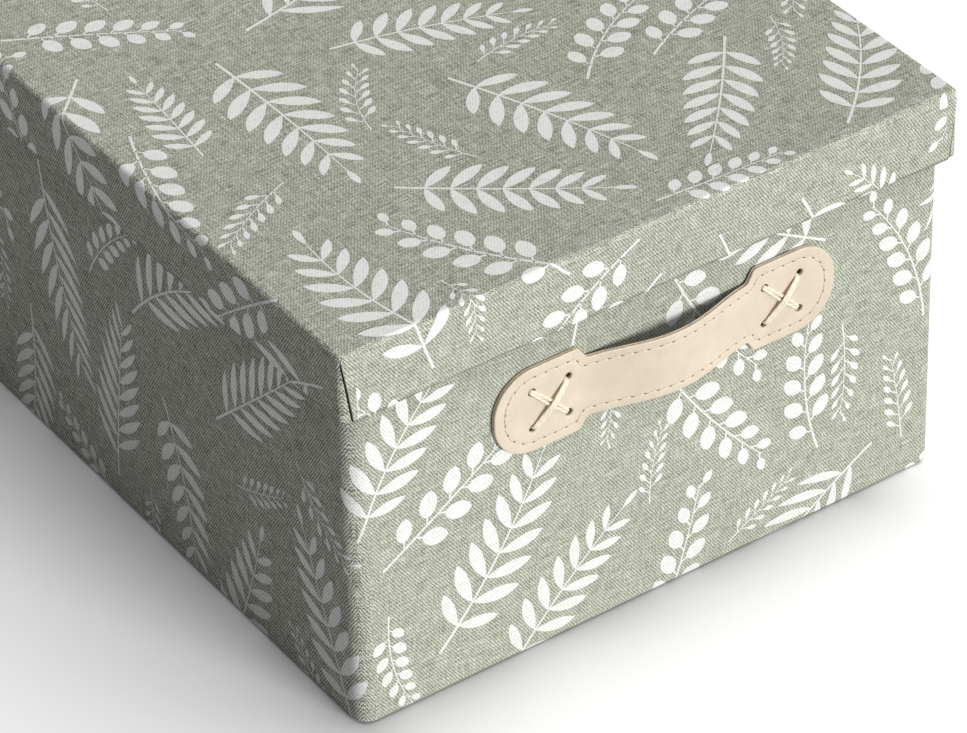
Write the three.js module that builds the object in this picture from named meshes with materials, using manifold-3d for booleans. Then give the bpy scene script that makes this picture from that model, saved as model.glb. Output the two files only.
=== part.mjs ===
// A rigid storage box: grey board covered in printed cloth, with a lift-off lid and laced leather
// handles. Millimetres, +Z up, origin at the middle of the underside, one handle facing -Y.

import Module from 'manifold-3d';
import * as THREE from 'three';
import { mergeVertices } from 'three/addons/utils/BufferGeometryUtils.js';

const wasm = await Module();
wasm.setup();

// Overall sizes
const lidWidth = 320;
const lidDepth = 430;
const boxHeight = 203;
const skirtDrop = 34.5;
const lidOverhang = 4.6;

// Cloth, boards and the gaps between them
const coverThickness = 0.7;
const liningThickness = 0.4;
const baseClothThickness = 0.6;
const wallBoardThickness = 2.5;
const baseBoardThickness = 2.5;
const lidBoardThickness = 3;
const skirtBoardThickness = 1.5;
const glueGap = 0.3;
const jointGap = 0.3;
const seatGap = 0.3;

// Roundings and turned edges
const bodyCornerRadius = 8;
const footRadius = 1.5;
const rimRadius = 1.2;
const rimTurnDown = 18;
const rimShowing = 12;
const baseTurnIn = 16;
const baseClothMargin = 6;
const lidCornerRadius = 3.5;
const lidEdgeRadius = 2.5;
const skirtFoldRadius = 0.9;
const creaseRadius = 0.3;

// Handle, measured on the wall it is laced to
const handleLength = 179;
const tabHeight = 43;
const tabCornerRadius = 20;
const strapHeight = 30.5;
const strapSpan = 84;
const shoulderRun = 4;
const shoulderRounding = 1.6;
const gripBulge = 9.5;
const gripSpan = 99;
const handleBelowSkirt = 36.5;
const handleShift = 5;
const outerLeatherThickness = 1.2;
const backingLeatherThickness = 1.1;
const leatherGap = 0.3;
const stationSpacing = 5;

// Sewn seam round the handle
const seamInset = 3.8;
const seamThreadRadius = 0.3;
const seamStop = 1.2;

// Lacings: two strands side by side, crossed through four holes and knotted inside the wall
const holeDiameter = 3.8;
const holeSpacingAcross = 18.8;
const holeSpacingUp = 19;
const holePairDistance = 122;
const strandRadius = 0.7;
const strandSpacing = 1.7;
const crossingRise = 1.75;
const crossingReach = 2.2;
const knotAcross = 3.2;
const knotUp = 3.8;
const knotThickness = 2;
const knotEntry = 1.5;
// How a strand turns at a hole: [distance along the run, distance out from the face]
const holeBendRoute = [[0, -0.7], [0.8, 0.6], [2.4, 1.2]];

// Facets
const cornerSteps = 5;
const arcSteps = 3;
const outlineSteps = 3;
const holeSides = 12;
const strandSideShare = 3;
const threadSideShare = 2;
const knotSides = 8;
const knotRings = 6;
const drillOverrun = 4;

// Sizes that follow from the ones above
const bodyHalfWidth = lidWidth / 2 - lidOverhang;
const bodyHalfDepth = lidDepth / 2 - lidOverhang;
const body = { halfWidth: bodyHalfWidth, halfDepth: bodyHalfDepth, cornerRadius: bodyCornerRadius };
const lid = { halfWidth: lidWidth / 2, halfDepth: lidDepth / 2, cornerRadius: lidCornerRadius };

const lidBoardTop = boxHeight - coverThickness - glueGap;
const lidBoardUnder = lidBoardTop - lidBoardThickness;
const lidLiningTop = lidBoardUnder - glueGap;
const rimTop = lidLiningTop - liningThickness - seatGap;
const skirtFoot = boxHeight - skirtDrop;

const boardOuter = coverThickness + glueGap;
const wallInner = boardOuter + wallBoardThickness;
const turnedBack = wallInner + glueGap;
const turnedFace = turnedBack + coverThickness;
const liningOuter = turnedFace + glueGap;
const liningInner = liningOuter + liningThickness;
const coverFoot = baseClothThickness + glueGap;
const boardFoot = coverFoot + coverThickness + glueGap;
const boardTop = rimTop - coverThickness - glueGap;
const baseBoardTop = boardFoot + baseBoardThickness;
const floorUnder = baseBoardTop + glueGap;
const floorTop = floorUnder + liningThickness;

const skirtInner = boardOuter + skirtBoardThickness;
const skirtTurnedBack = skirtInner + glueGap;
const skirtTurnedFace = skirtTurnedBack + coverThickness;
const skirtBoardFoot = skirtFoot + coverThickness + glueGap;
const skirtBoardTop = lidBoardUnder - jointGap;

const handleHeight = skirtFoot - handleBelowSkirt;
const handleEnd = handleLength / 2;
const tabHalf = tabHeight / 2;
const strapHalf = strapHeight / 2;
const shoulderInner = strapSpan / 2;
const gripReach = gripSpan / 2;
const backingBase = leatherGap;
const backingFace = backingBase + backingLeatherThickness;
const outerBase = backingFace + leatherGap;
const leatherFace = outerBase + outerLeatherThickness;
const seamHeight = leatherFace + leatherGap + seamThreadRadius;

// Finishes
const finishes = {
  printedCloth: { color: 0xb3baa5, roughness: 0.92, metalness: 0 },
  lidCloth: { color: 0xaab19d, roughness: 0.92, metalness: 0 },
  lining: { color: 0xd8d2c4, roughness: 0.95, metalness: 0 },
  board: { color: 0xa59b89, roughness: 0.9, metalness: 0 },
  leather: { color: 0xe6d1b8, roughness: 0.55, metalness: 0 },
  backing: { color: 0xd9c2a8, roughness: 0.7, metalness: 0 },
  thread: { color: 0xe9d8b8, roughness: 0.8, metalness: 0 },
  lacing: { color: 0xf0e6d2, roughness: 0.75, metalness: 0 },
};

// Joins rings of points, all with the same count and anticlockwise seen from where the rings lead,
// into one closed body. A closed row of rings runs back to its first ring, an open one gets two ends.
function loft(rings, closed) {
  const count = rings[0].length;
  const positions = [];
  const faces = [];
  for (const ring of rings) {
    for (const point of ring) positions.push(point.x, point.y, point.z);
  }
  const last = closed ? rings.length : rings.length - 1;
  for (let ring = 0; ring < last; ring += 1) {
    const here = ring * count;
    const next = ((ring + 1) % rings.length) * count;
    for (let side = 0; side < count; side += 1) {
      const beside = (side + 1) % count;
      faces.push(here + side, here + beside, next + beside);
      faces.push(here + side, next + beside, next + side);
    }
  }
  if (!closed) {
    addEnd(rings[0], 0, true);
    addEnd(rings[rings.length - 1], (rings.length - 1) * count, false);
  }

  function addEnd(ring, start, facesBack) {
    const middle = new THREE.Vector3();
    for (const point of ring) middle.addScaledVector(point, 1 / count);
    const centre = positions.length / 3;
    positions.push(middle.x, middle.y, middle.z);
    for (let side = 0; side < count; side += 1) {
      const beside = start + ((side + 1) % count);
      if (facesBack) faces.push(centre, beside, start + side);
      else faces.push(centre, start + side, beside);
    }
  }

  const geometry = new THREE.BufferGeometry();
  geometry.setAttribute('position', new THREE.Float32BufferAttribute(positions, 3));
  geometry.setIndex(faces);
  return geometry;
}

// A rectangle with round corners, drawn in from the plan's outline
function contour(plan, { inset, height, radius }) {
  const round = radius ?? Math.max(plan.cornerRadius - inset, creaseRadius);
  const acrossX = plan.halfWidth - inset - round;
  const acrossY = plan.halfDepth - inset - round;
  const points = [];
  const quarters = [[1, -1], [1, 1], [-1, 1], [-1, -1]];
  quarters.forEach(([signX, signY], quarter) => {
    for (let step = 0; step <= cornerSteps; step += 1) {
      const angle = (quarter - 1 + step / cornerSteps) * (Math.PI / 2);
      const x = signX * acrossX + round * Math.cos(angle);
      const y = signY * acrossY + round * Math.sin(angle);
      points.push(new THREE.Vector3(x, y, height));
    }
  });
  return points;
}

// A profile, written as insets and heights, carried round a plan
function skin(plan, profile, closed) {
  return loft(profile.map((place) => contour(plan, place)), closed);
}

// Part of a circle in a profile: 0 degrees points out of the box and 90 degrees up
function arc(centreInset, centreHeight, radius, fromDegrees, toDegrees) {
  const places = [];
  for (let step = 0; step <= arcSteps; step += 1) {
    const angle = THREE.MathUtils.degToRad(fromDegrees + ((toDegrees - fromDegrees) * step) / arcSteps);
    const inset = centreInset - radius * Math.cos(angle);
    places.push({ inset, height: centreHeight + radius * Math.sin(angle) });
  }
  return places;
}

// Solids for joining and cutting
function toSolid(geometry) {
  const bare = new THREE.BufferGeometry();
  bare.setAttribute('position', geometry.getAttribute('position'));
  if (geometry.index) bare.setIndex(geometry.index);
  const merged = mergeVertices(bare);
  const vertProperties = Float32Array.from(merged.getAttribute('position').array);
  const triVerts = Uint32Array.from(merged.index.array);
  return new wasm.Manifold(new wasm.Mesh({ numProp: 3, vertProperties, triVerts }));
}

function toGeometry(solid) {
  const mesh = solid.getMesh();
  const geometry = new THREE.BufferGeometry();
  geometry.setAttribute('position', new THREE.Float32BufferAttribute(mesh.vertProperties, 3));
  geometry.setIndex(new THREE.Uint32BufferAttribute(mesh.triVerts, 1));
  return geometry;
}

function blockSolid(low, high) {
  const size = high.map((value, axis) => value - low[axis]);
  const middle = high.map((value, axis) => (value + low[axis]) / 2);
  return toSolid(new THREE.BoxGeometry(...size).translate(...middle));
}

// The four holes of one lacing, from its middle
const lacingHoles = {
  upperInner: { across: -holeSpacingAcross / 2, up: holeSpacingUp / 2 },
  upperOuter: { across: holeSpacingAcross / 2, up: holeSpacingUp / 2 },
  lowerInner: { across: -holeSpacingAcross / 2, up: -holeSpacingUp / 2 },
  lowerOuter: { across: holeSpacingAcross / 2, up: -holeSpacingUp / 2 },
};

// Drills one row of holes along Y, from a deepest place out past a face
function drill(solid, places, from, to) {
  const length = to - from;
  let drilled = solid;
  for (const [x, z] of places) {
    const tool = new THREE.CylinderGeometry(holeDiameter / 2, holeDiameter / 2, length, holeSides);
    drilled = drilled.subtract(toSolid(tool.translate(x, from + length / 2, z)));
  }
  return drilled;
}

// Where a handle's holes are, from its middle
function handleHoles() {
  const places = [];
  for (const side of [-1, 1]) {
    for (const hole of Object.values(lacingHoles)) {
      places.push([(side * holePairDistance) / 2 + hole.across, hole.up]);
    }
  }
  return places;
}

// Drills the holes of both handles through a piece of the body
function drillBody(geometry) {
  const placed = handleHoles().map(([x, z]) => [x + handleShift, z + handleHeight]);
  const turned = placed.map(([x, z]) => [-x, z]);
  const inside = bodyHalfDepth - liningInner - drillOverrun;
  const outside = bodyHalfDepth + drillOverrun;
  const front = drill(toSolid(geometry), placed, -outside, -inside);
  return toGeometry(drill(front, turned, inside, outside));
}

// Cuts four upright boards out of a full block: the two end boards run the full width and the two
// side boards fit between them
function cutBoards(block, plan, inner, foot, top) {
  const solid = toSolid(block);
  const endFace = plan.halfDepth - inner;
  const sideFace = plan.halfWidth - inner;
  const sideEnd = endFace - jointGap;
  const low = foot - drillOverrun;
  const high = top + drillOverrun;
  const wide = plan.halfWidth + drillOverrun;
  const deep = plan.halfDepth + drillOverrun;
  const cut = (from, to) => toGeometry(solid.intersect(blockSolid(from, to)));
  return {
    front: cut([-wide, -deep, low], [wide, -endFace, high]),
    back: cut([-wide, endFace, low], [wide, deep, high]),
    left: cut([-wide, -sideEnd, low], [-sideFace, sideEnd, high]),
    right: cut([sideFace, -sideEnd, low], [wide, sideEnd, high]),
  };
}

// Body

function bodyCover() {
  const turnFoot = rimTop - rimTurnDown;
  const profile = [
    { inset: baseTurnIn, height: coverFoot },
    ...arc(footRadius, coverFoot + footRadius, footRadius, -90, 0),
    ...arc(rimRadius, rimTop - rimRadius, rimRadius, 0, 90),
    ...arc(turnedFace - rimRadius, rimTop - rimRadius, rimRadius, 90, 180),
    { inset: turnedFace, height: turnFoot },
    { inset: turnedBack, height: turnFoot },
    { inset: turnedBack, height: rimTop - coverThickness },
    { inset: coverThickness, height: rimTop - coverThickness },
    ...arc(footRadius, coverFoot + footRadius, footRadius - coverThickness, 0, -90),
    { inset: baseTurnIn, height: coverFoot + coverThickness },
  ];
  return skin(body, profile, true);
}

function wallBoards() {
  const profile = [
    ...arc(footRadius, coverFoot + footRadius, footRadius - boardOuter, -90, 0),
    { inset: boardOuter, height: boardTop },
  ];
  return cutBoards(skin(body, profile, false), body, wallInner, boardFoot, boardTop);
}

function bodyLining() {
  const profile = [
    { inset: liningOuter, height: floorUnder },
    { inset: liningOuter, height: rimTop - rimShowing },
    { inset: liningInner, height: rimTop - rimShowing },
    { inset: liningInner, height: floorTop },
  ];
  return skin(body, profile, false);
}

function baseBoard() {
  const inset = wallInner + jointGap;
  const profile = [
    { inset, height: boardFoot, radius: creaseRadius },
    { inset, height: baseBoardTop, radius: creaseRadius },
  ];
  return skin(body, profile, false);
}

function baseCloth() {
  const profile = [
    { inset: baseClothMargin, height: 0 },
    { inset: baseClothMargin, height: baseClothThickness },
  ];
  return skin(body, profile, false);
}

// Lid

function lidCover() {
  const outerFold = skirtFoldRadius;
  const profile = [
    ...arc(lidEdgeRadius, boxHeight - lidEdgeRadius, lidEdgeRadius - coverThickness, 90, 0),
    { inset: coverThickness, height: skirtFoot + coverThickness },
    { inset: skirtTurnedBack, height: skirtFoot + coverThickness },
    { inset: skirtTurnedBack, height: skirtBoardTop },
    { inset: skirtTurnedFace, height: skirtBoardTop },
    ...arc(skirtTurnedFace - outerFold, skirtFoot + outerFold, outerFold, -180, -90),
    ...arc(outerFold, skirtFoot + outerFold, outerFold, -90, 0),
    ...arc(lidEdgeRadius, boxHeight - lidEdgeRadius, lidEdgeRadius, 0, 90),
  ];
  return skin(lid, profile, false);
}

function lidTopBoard() {
  const profile = [
    { inset: boardOuter, height: lidBoardUnder },
    ...arc(lidEdgeRadius, boxHeight - lidEdgeRadius, lidEdgeRadius - boardOuter, 0, 90),
  ];
  return skin(lid, profile, false);
}

function skirtBoards() {
  const profile = [
    { inset: boardOuter, height: skirtBoardFoot },
    { inset: boardOuter, height: skirtBoardTop },
  ];
  return cutBoards(skin(lid, profile, false), lid, skirtInner, skirtBoardFoot, skirtBoardTop);
}

function lidLining() {
  const inset = skirtTurnedFace + glueGap;
  const profile = [
    { inset, height: lidLiningTop - liningThickness },
    { inset, height: lidLiningTop },
  ];
  return skin(lid, profile, false);
}

// Handle, in its own frame: X along the strap, -Y out of the wall, Z up, origin on the wall's face

// The upper right quarter of the leather's outline, drawn in by an inset
function handleEdge(inset) {
  const slope = shoulderRun / (tabHalf - strapHalf);
  const slant = Math.hypot(1, slope);
  const neck = new THREE.Vector2(shoulderInner + inset * (slant - slope), strapHalf - inset);
  const brow = new THREE.Vector2(neck.x + shoulderRun, tabHalf - inset);
  const along = brow.clone().sub(neck).setLength(shoulderRounding);
  const path = new THREE.Path();
  path.moveTo(0, neck.y);
  path.lineTo(neck.x - shoulderRounding, neck.y);
  path.quadraticCurveTo(neck.x, neck.y, neck.x + along.x, neck.y + along.y);
  path.lineTo(brow.x - along.x, brow.y - along.y);
  path.quadraticCurveTo(brow.x, brow.y, brow.x + shoulderRounding, brow.y);
  path.lineTo(handleEnd - tabCornerRadius, brow.y);
  const centreY = tabHalf - tabCornerRadius;
  path.absarc(handleEnd - tabCornerRadius, centreY, tabCornerRadius - inset, Math.PI / 2, 0, true);
  return path.getPoints(outlineSteps);
}

// The outline's points with more between them along the strap, from end to end: x and half height
function handleStations(inset) {
  const quarter = handleEdge(inset);
  const half = [];
  for (let index = 1; index < quarter.length; index += 1) {
    const from = quarter[index - 1];
    const to = quarter[index];
    const parts = Math.max(1, Math.ceil((Math.min(to.x, gripReach) - from.x) / stationSpacing));
    for (let part = 0; part < parts; part += 1) half.push(from.clone().lerp(to, part / parts));
  }
  half.push(quarter[quarter.length - 1]);
  const mirrored = half.slice(1).reverse().map((point) => new THREE.Vector2(-point.x, point.y));
  return [...mirrored, ...half];
}

// A point of the bulged leather: x along the wall, a height, and how far out from the back of the leather
function onHandle(x, up, out) {
  const share = x / gripReach;
  const lifted = Math.abs(share) < 1;
  const rise = lifted ? (gripBulge * (1 + Math.cos(Math.PI * share))) / 2 : 0;
  const steepness = lifted ? (-gripBulge * Math.PI * Math.sin(Math.PI * share)) / (2 * gripReach) : 0;
  const length = Math.hypot(1, steepness);
  return new THREE.Vector3(x - (out * steepness) / length, -(rise + out / length), up);
}

function leatherLayer(inner, outer) {
  const rings = handleStations(0).map(({ x, y: half }) => [
    onHandle(x, -half, inner),
    onHandle(x, half, inner),
    onHandle(x, half, outer),
    onHandle(x, -half, outer),
  ]);
  const solid = toSolid(loft(rings, false));
  return toGeometry(drill(solid, handleHoles(), -leatherFace - drillOverrun, drillOverrun));
}

// A cord's route, visited point by point
class Route extends THREE.Curve {
  constructor(points) {
    super();
    this.points = points;
  }

  getPoint(t, target = new THREE.Vector3()) {
    const place = t * (this.points.length - 1);
    const index = Math.min(Math.floor(place), this.points.length - 2);
    return target.lerpVectors(this.points[index], this.points[index + 1], place - index);
  }

  getUtoTmapping(u) {
    return u;
  }
}

function tube(points, radius, sideShare) {
  const section = new THREE.Shape().absarc(0, 0, radius, 0, 2 * Math.PI);
  const extrudePath = new Route(points);
  const options = { steps: points.length - 1, curveSegments: sideShare, bevelEnabled: false, extrudePath };
  return new THREE.ExtrudeGeometry(section, options);
}

function seamThread() {
  const stations = handleStations(seamInset);
  const start = stations[0];
  const upper = stations.map(({ x, y: half }) => onHandle(x, half, seamHeight));
  const lower = stations.map(({ x, y: half }) => onHandle(x, -half, seamHeight)).reverse();
  const first = onHandle(start.x, seamStop / 2, seamHeight);
  const last = onHandle(start.x, -seamStop / 2, seamHeight);
  return tube([first, ...upper, ...lower, last], seamThreadRadius, threadSideShare);
}

// One stretch of a lacing between two holes: the places of its middle line and the way to its side.
// outward is 1 on the leather's face and -1 on the lining's.
function lacingStretch(from, to, face, outward, side, crest) {
  const start = new THREE.Vector2(from.across, from.up);
  const end = new THREE.Vector2(to.across, to.up);
  const length = start.distanceTo(end);
  const bend = holeBendRoute.map(([along, out]) => [along, face + outward * out]);
  const lying = face + outward * holeBendRoute[holeBendRoute.length - 1][1];
  const rise = lying + outward * crest;
  const middle = crest ? [[length / 2 - crossingReach, rise], [length / 2 + crossingReach, rise]] : [];
  const leaving = bend.map(([along, out]) => [length - along, out]).reverse();
  return [...bend, ...middle, ...leaving].map(([along, out]) => {
    const place = start.clone().lerp(end, along / length);
    return { place, out, side };
  });
}

// From a hole to the knot inside, or back
function knotStretch(hole, towardsKnot) {
  const side = new THREE.Vector2(1, 0);
  const towards = -Math.sign(hole.up);
  const bend = holeBendRoute.map(([along, out]) => ({
    place: new THREE.Vector2(hole.across, hole.up + towards * along),
    out: -liningInner - out,
    side,
  }));
  const end = {
    place: new THREE.Vector2(hole.across, -towards * knotEntry),
    out: bend[bend.length - 1].out,
    side,
  };
  const stretch = [...bend, end];
  return towardsKnot ? stretch : stretch.reverse();
}

function lacing() {
  const { upperInner, upperOuter, lowerInner, lowerOuter } = lacingHoles;
  const diagonal = Math.SQRT1_2;
  const route = [
    ...knotStretch(upperInner, false),
    ...lacingStretch(upperInner, lowerOuter, leatherFace, 1, new THREE.Vector2(diagonal, diagonal), 0),
    ...lacingStretch(lowerOuter, upperOuter, -liningInner, -1, new THREE.Vector2(1, 0), 0),
    ...lacingStretch(
      upperOuter,
      lowerInner,
      leatherFace,
      1,
      new THREE.Vector2(diagonal, -diagonal),
      crossingRise,
    ),
    ...knotStretch(lowerInner, true),
  ];
  const strands = [-1, 1].map((strand) => {
    const points = route.map(({ place, out, side }) => {
      const spot = place.clone().addScaledVector(side, (strand * strandSpacing) / 2);
      return new THREE.Vector3(spot.x, -out, spot.y);
    });
    return toSolid(tube(points, strandRadius, strandSideShare));
  });
  const lump = new THREE.SphereGeometry(1, knotSides, knotRings).scale(knotAcross, knotThickness, knotUp);
  const knotDepth = liningInner + glueGap + knotThickness;
  const knot = toSolid(lump.translate(upperInner.across, knotDepth, 0));
  return toGeometry(knot.add(strands[0]).add(strands[1]));
}

// Assembly

const box = new THREE.Group();

function addPiece(parent, name, geometry, finish) {
  const piece = new THREE.Mesh(geometry, new THREE.MeshStandardMaterial(finish));
  piece.name = name;
  parent.add(piece);
  return piece;
}

const bodyGroup = new THREE.Group();
box.add(bodyGroup);
const walls = wallBoards();
addPiece(bodyGroup, 'base_cloth', baseCloth(), finishes.lining);
addPiece(bodyGroup, 'base_board', baseBoard(), finishes.board);
addPiece(bodyGroup, 'front_wall_board', drillBody(walls.front), finishes.board);
addPiece(bodyGroup, 'back_wall_board', drillBody(walls.back), finishes.board);
addPiece(bodyGroup, 'left_wall_board', walls.left, finishes.board);
addPiece(bodyGroup, 'right_wall_board', walls.right, finishes.board);
addPiece(bodyGroup, 'body_cover', drillBody(bodyCover()), finishes.printedCloth);
addPiece(bodyGroup, 'body_lining', drillBody(bodyLining()), finishes.lining);

const lidGroup = new THREE.Group();
box.add(lidGroup);
addPiece(lidGroup, 'lid_top_board', lidTopBoard(), finishes.board);
for (const [side, geometry] of Object.entries(skirtBoards())) {
  addPiece(lidGroup, `lid_${side}_skirt_board`, geometry, finishes.board);
}
addPiece(lidGroup, 'lid_cover', lidCover(), finishes.lidCloth);
addPiece(lidGroup, 'lid_lining', lidLining(), finishes.lining);

for (const [end, turn] of [['front', 0], ['back', Math.PI]]) {
  const turned = new THREE.Group();
  turned.rotation.z = turn;
  box.add(turned);
  const handle = new THREE.Group();
  handle.position.set(handleShift, -bodyHalfDepth, handleHeight);
  turned.add(handle);
  const name = `${end}_handle`;
  addPiece(handle, `${name}_backing_leather`, leatherLayer(backingBase, backingFace), finishes.backing);
  addPiece(handle, `${name}_outer_leather`, leatherLayer(outerBase, leatherFace), finishes.leather);
  addPiece(handle, `${name}_seam_thread`, seamThread(), finishes.thread);
  for (const [side, sign] of [['left', -1], ['right', 1]]) {
    const crossing = addPiece(handle, `${end}_${side}_lacing`, lacing(), finishes.lacing);
    crossing.position.x = (sign * holePairDistance) / 2;
  }
}

export default box;
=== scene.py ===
"""Fabric storage box with a lift-off lid and laced leather handles, dressed for rendering.

Lengths are in millimetres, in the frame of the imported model: X across the box, Y along it from
the end with the photographed handle to the far one, and Z up from the floor. They become metres
where a mesh is made.
"""

import logging
import math
from dataclasses import dataclass, field
from enum import Enum
from typing import Any, Optional

import bmesh
import bpy
import numpy as np
from mathutils import Matrix, Vector
from mathutils.geometry import delaunay_2d_cdt


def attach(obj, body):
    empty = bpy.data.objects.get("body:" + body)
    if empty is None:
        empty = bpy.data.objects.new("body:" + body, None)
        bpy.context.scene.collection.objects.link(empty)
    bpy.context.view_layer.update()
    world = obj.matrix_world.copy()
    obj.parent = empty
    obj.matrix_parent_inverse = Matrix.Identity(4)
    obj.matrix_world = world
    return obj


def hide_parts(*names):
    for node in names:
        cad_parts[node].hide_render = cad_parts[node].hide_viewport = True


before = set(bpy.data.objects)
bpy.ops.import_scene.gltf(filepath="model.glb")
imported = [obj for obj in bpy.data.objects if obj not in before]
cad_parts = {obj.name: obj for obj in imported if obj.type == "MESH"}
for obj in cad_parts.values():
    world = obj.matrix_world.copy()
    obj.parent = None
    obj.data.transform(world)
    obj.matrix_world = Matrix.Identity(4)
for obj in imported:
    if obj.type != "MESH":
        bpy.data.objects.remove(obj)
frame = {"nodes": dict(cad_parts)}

Array = np.ndarray
Socket = bpy.types.NodeSocket
Material = bpy.types.Material
Piece = bpy.types.Object
Point = tuple[float, float]
Row = tuple[float, ...]
Tones = tuple[str, ...]
Triple = tuple[float, float, float]

METRE = 1000.0
WEAVE = "weave"
# The mark of painted shade: how far each point's colour goes to a dark one.
PAINTED_SHADE = "painted_shade"
NOISE_ROUGHNESS = 0.55
SHARP_DEGREES = 40.0
WELD = 1e-4
SAME_PLACE = 1e-6
ON_THE_LINE = 1e-5
log = logging.getLogger("storage_box")


# Small helpers


def linear_colour(code: str) -> Row:
    """Turns an sRGB colour of six hex digits into the linear one that a shader socket takes."""
    parts = (int(code[i : i + 2], 16) / 255 for i in (0, 2, 4))
    return *(c / 12.92 if c <= 0.04045 else ((c + 0.055) / 1.055) ** 2.4 for c in parts), 1.0


def add_node(
    tree: bpy.types.NodeTree, kind: str, inputs: Optional[dict] = None, **settings: Any
) -> bpy.types.Node:
    """Adds one node to a tree.

    Args:
        tree: the node tree.
        kind: the node's type, less ShaderNode.
        inputs: for an input's name or number, its value or what feeds it.
        settings: the node's own settings.

    Returns:
        The node.
    """
    node = tree.nodes.new(f"ShaderNode{kind}")
    for name, value in settings.items():
        setattr(node, name, value)
    for name, value in (inputs or {}).items():
        if isinstance(value, Socket):
            tree.links.new(value, node.inputs[name])
        else:
            node.inputs[name].default_value = value
    return node


def smooth_step(value: Array, low: float, high: float) -> Array:
    """Rises from 0 at low to 1 at high with level ends: 3 s squared less 2 s cubed."""
    share = np.clip((value - low) / (high - low), 0.0, 1.0)
    return share * share * (3.0 - 2.0 * share)


def spread(start: float, end: float, step: float) -> Array:
    """Evenly spaced numbers from start to end, both included, at most a step apart."""
    return np.linspace(start, end, max(2, math.ceil(abs(end - start) / step) + 1))


def turned_by(angle: float) -> Array:
    """The matrix that turns a flat column of x and y anticlockwise by an angle in radians."""
    return np.array([[math.cos(angle), -math.sin(angle)], [math.sin(angle), math.cos(angle)]])


def unit(vectors: Array) -> Array:
    """Vectors, along the last axis, brought to a length of one."""
    return vectors / np.linalg.norm(vectors, axis=-1, keepdims=True)


def directions(angle: Array) -> Array:
    """The flat directions at angles: their cosines and sines, on a new last axis."""
    return np.stack([np.cos(angle), np.sin(angle)], axis=-1)


def square_to(way: Array) -> Array:
    """Flat directions a quarter turn anticlockwise from others."""
    return np.stack([-way[..., 1], way[..., 0]], axis=-1)


def nearest(spots: Array, others: Array) -> Array:
    """How far each flat spot is from the nearest of some others."""
    return np.linalg.norm(spots[:, None] - others[None], axis=2).min(axis=1)


def flat_areas(corners: Array) -> Array:
    """The areas of flat triangles, (n, 3, 2), above 0 where their corners run anticlockwise."""
    (ahead, up), (other_ahead, other_up) = (corners[:, 1:] - corners[:, :1]).transpose(1, 2, 0)
    return (ahead * other_up - up * other_ahead) / 2


def grid_faces(rows: int, columns: int, wrap: bool = False) -> Array:
    """Lists the quads of a grid of points.

    Args:
        rows: rows of points.
        columns: points in a row.
        wrap: whether the last row joins the first.

    Returns:
        Four point numbers a quad, anticlockwise.
    """
    count = rows if wrap else rows - 1
    row, column = np.meshgrid(np.arange(count), np.arange(columns - 1), indexing="ij")
    first, above = row * columns + column, (row + 1) % rows * columns + column
    return np.stack([first, first + 1, above + 1, above], axis=-1).reshape(-1, 4)


@dataclass
class Surface:
    """A mesh on its way to Blender, in millimetres.

    weave holds the cloth coordinates of each face's corners, marks a number for each point, and
    parts each face's material.
    """

    points: Array
    faces: Array
    weave: Optional[Array] = None
    marks: dict[str, Array] = field(default_factory=dict)
    parts: Optional[Array] = None

    def triangles(self) -> "Surface":
        """The same surface with each quad split along one diagonal."""
        if self.faces.shape[1] == 3:
            return self
        picks = np.array([[0, 1, 2], [0, 2, 3]])
        weave = None if self.weave is None else self.weave[:, picks].reshape(-1, 3, 2)
        parts = None if self.parts is None else np.repeat(self.parts, 2)
        return Surface(self.points, self.faces[:, picks].reshape(-1, 3), weave, self.marks, parts)


def merged(surfaces: list[Surface]) -> Surface:
    """Brings surfaces together, without marks.

    Args:
        surfaces: the surfaces.

    Returns:
        One surface of triangles.
    """
    every = [surface.triangles() for surface in surfaces]
    starts = np.cumsum([0] + [len(surface.points) for surface in every[:-1]])
    faces = np.concatenate([s.faces + start for s, start in zip(every, starts)])
    weave = None if every[0].weave is None else np.concatenate([s.weave for s in every])
    parts = None if every[0].parts is None else np.concatenate([s.parts for s in every])
    return Surface(np.concatenate([s.points for s in every]), faces, weave, parts=parts)


def make_piece(name: str, surface: Surface, finishes: list[Material]) -> Piece:
    """Makes a Blender object of a surface, with its place in its mesh.

    Args:
        name: the piece's name.
        surface: its mesh.
        finishes: its materials, as the parts count them.

    Returns:
        The object, at the origin.
    """
    mesh = bpy.data.meshes.new(name)
    mesh.from_pydata((surface.points / METRE).tolist(), [], surface.faces.tolist())
    if surface.weave is not None:
        layer = mesh.uv_layers.new(name=WEAVE)
        layer.data.foreach_set("uv", (surface.weave / METRE).astype(np.float32).ravel())
    for mark, values in surface.marks.items():
        attribute = mesh.attributes.new(mark, "FLOAT", "POINT")
        attribute.data.foreach_set("value", values.astype(np.float32))
    for finish in finishes:
        mesh.materials.append(finish)
    if surface.parts is not None:
        mesh.polygons.foreach_set("material_index", surface.parts.astype(np.int32))
    shape = bmesh.new()
    shape.from_mesh(mesh)
    bmesh.ops.remove_doubles(shape, verts=shape.verts, dist=WELD / METRE)
    bmesh.ops.dissolve_degenerate(shape, dist=WELD / METRE, edges=shape.edges)
    shape.to_mesh(mesh)
    shape.free()
    mesh.shade_smooth()
    mesh.set_sharp_from_angle(angle=math.radians(SHARP_DEGREES))
    piece = bpy.data.objects.new(name, mesh)
    bpy.context.scene.collection.objects.link(piece)
    log.info("%s: %d faces", name, len(mesh.polygons))
    return piece


def settle(piece: Piece, body: str, node: Optional[str] = None) -> Piece:
    """Sets a piece on its body, and hides the CAD node that it stands for.

    Args:
        piece: the piece.
        body: what it moves with.
        node: the CAD node that it stands for.

    Returns:
        The piece.
    """
    if node:
        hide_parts(node)
    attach(piece, body)
    return piece


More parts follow.
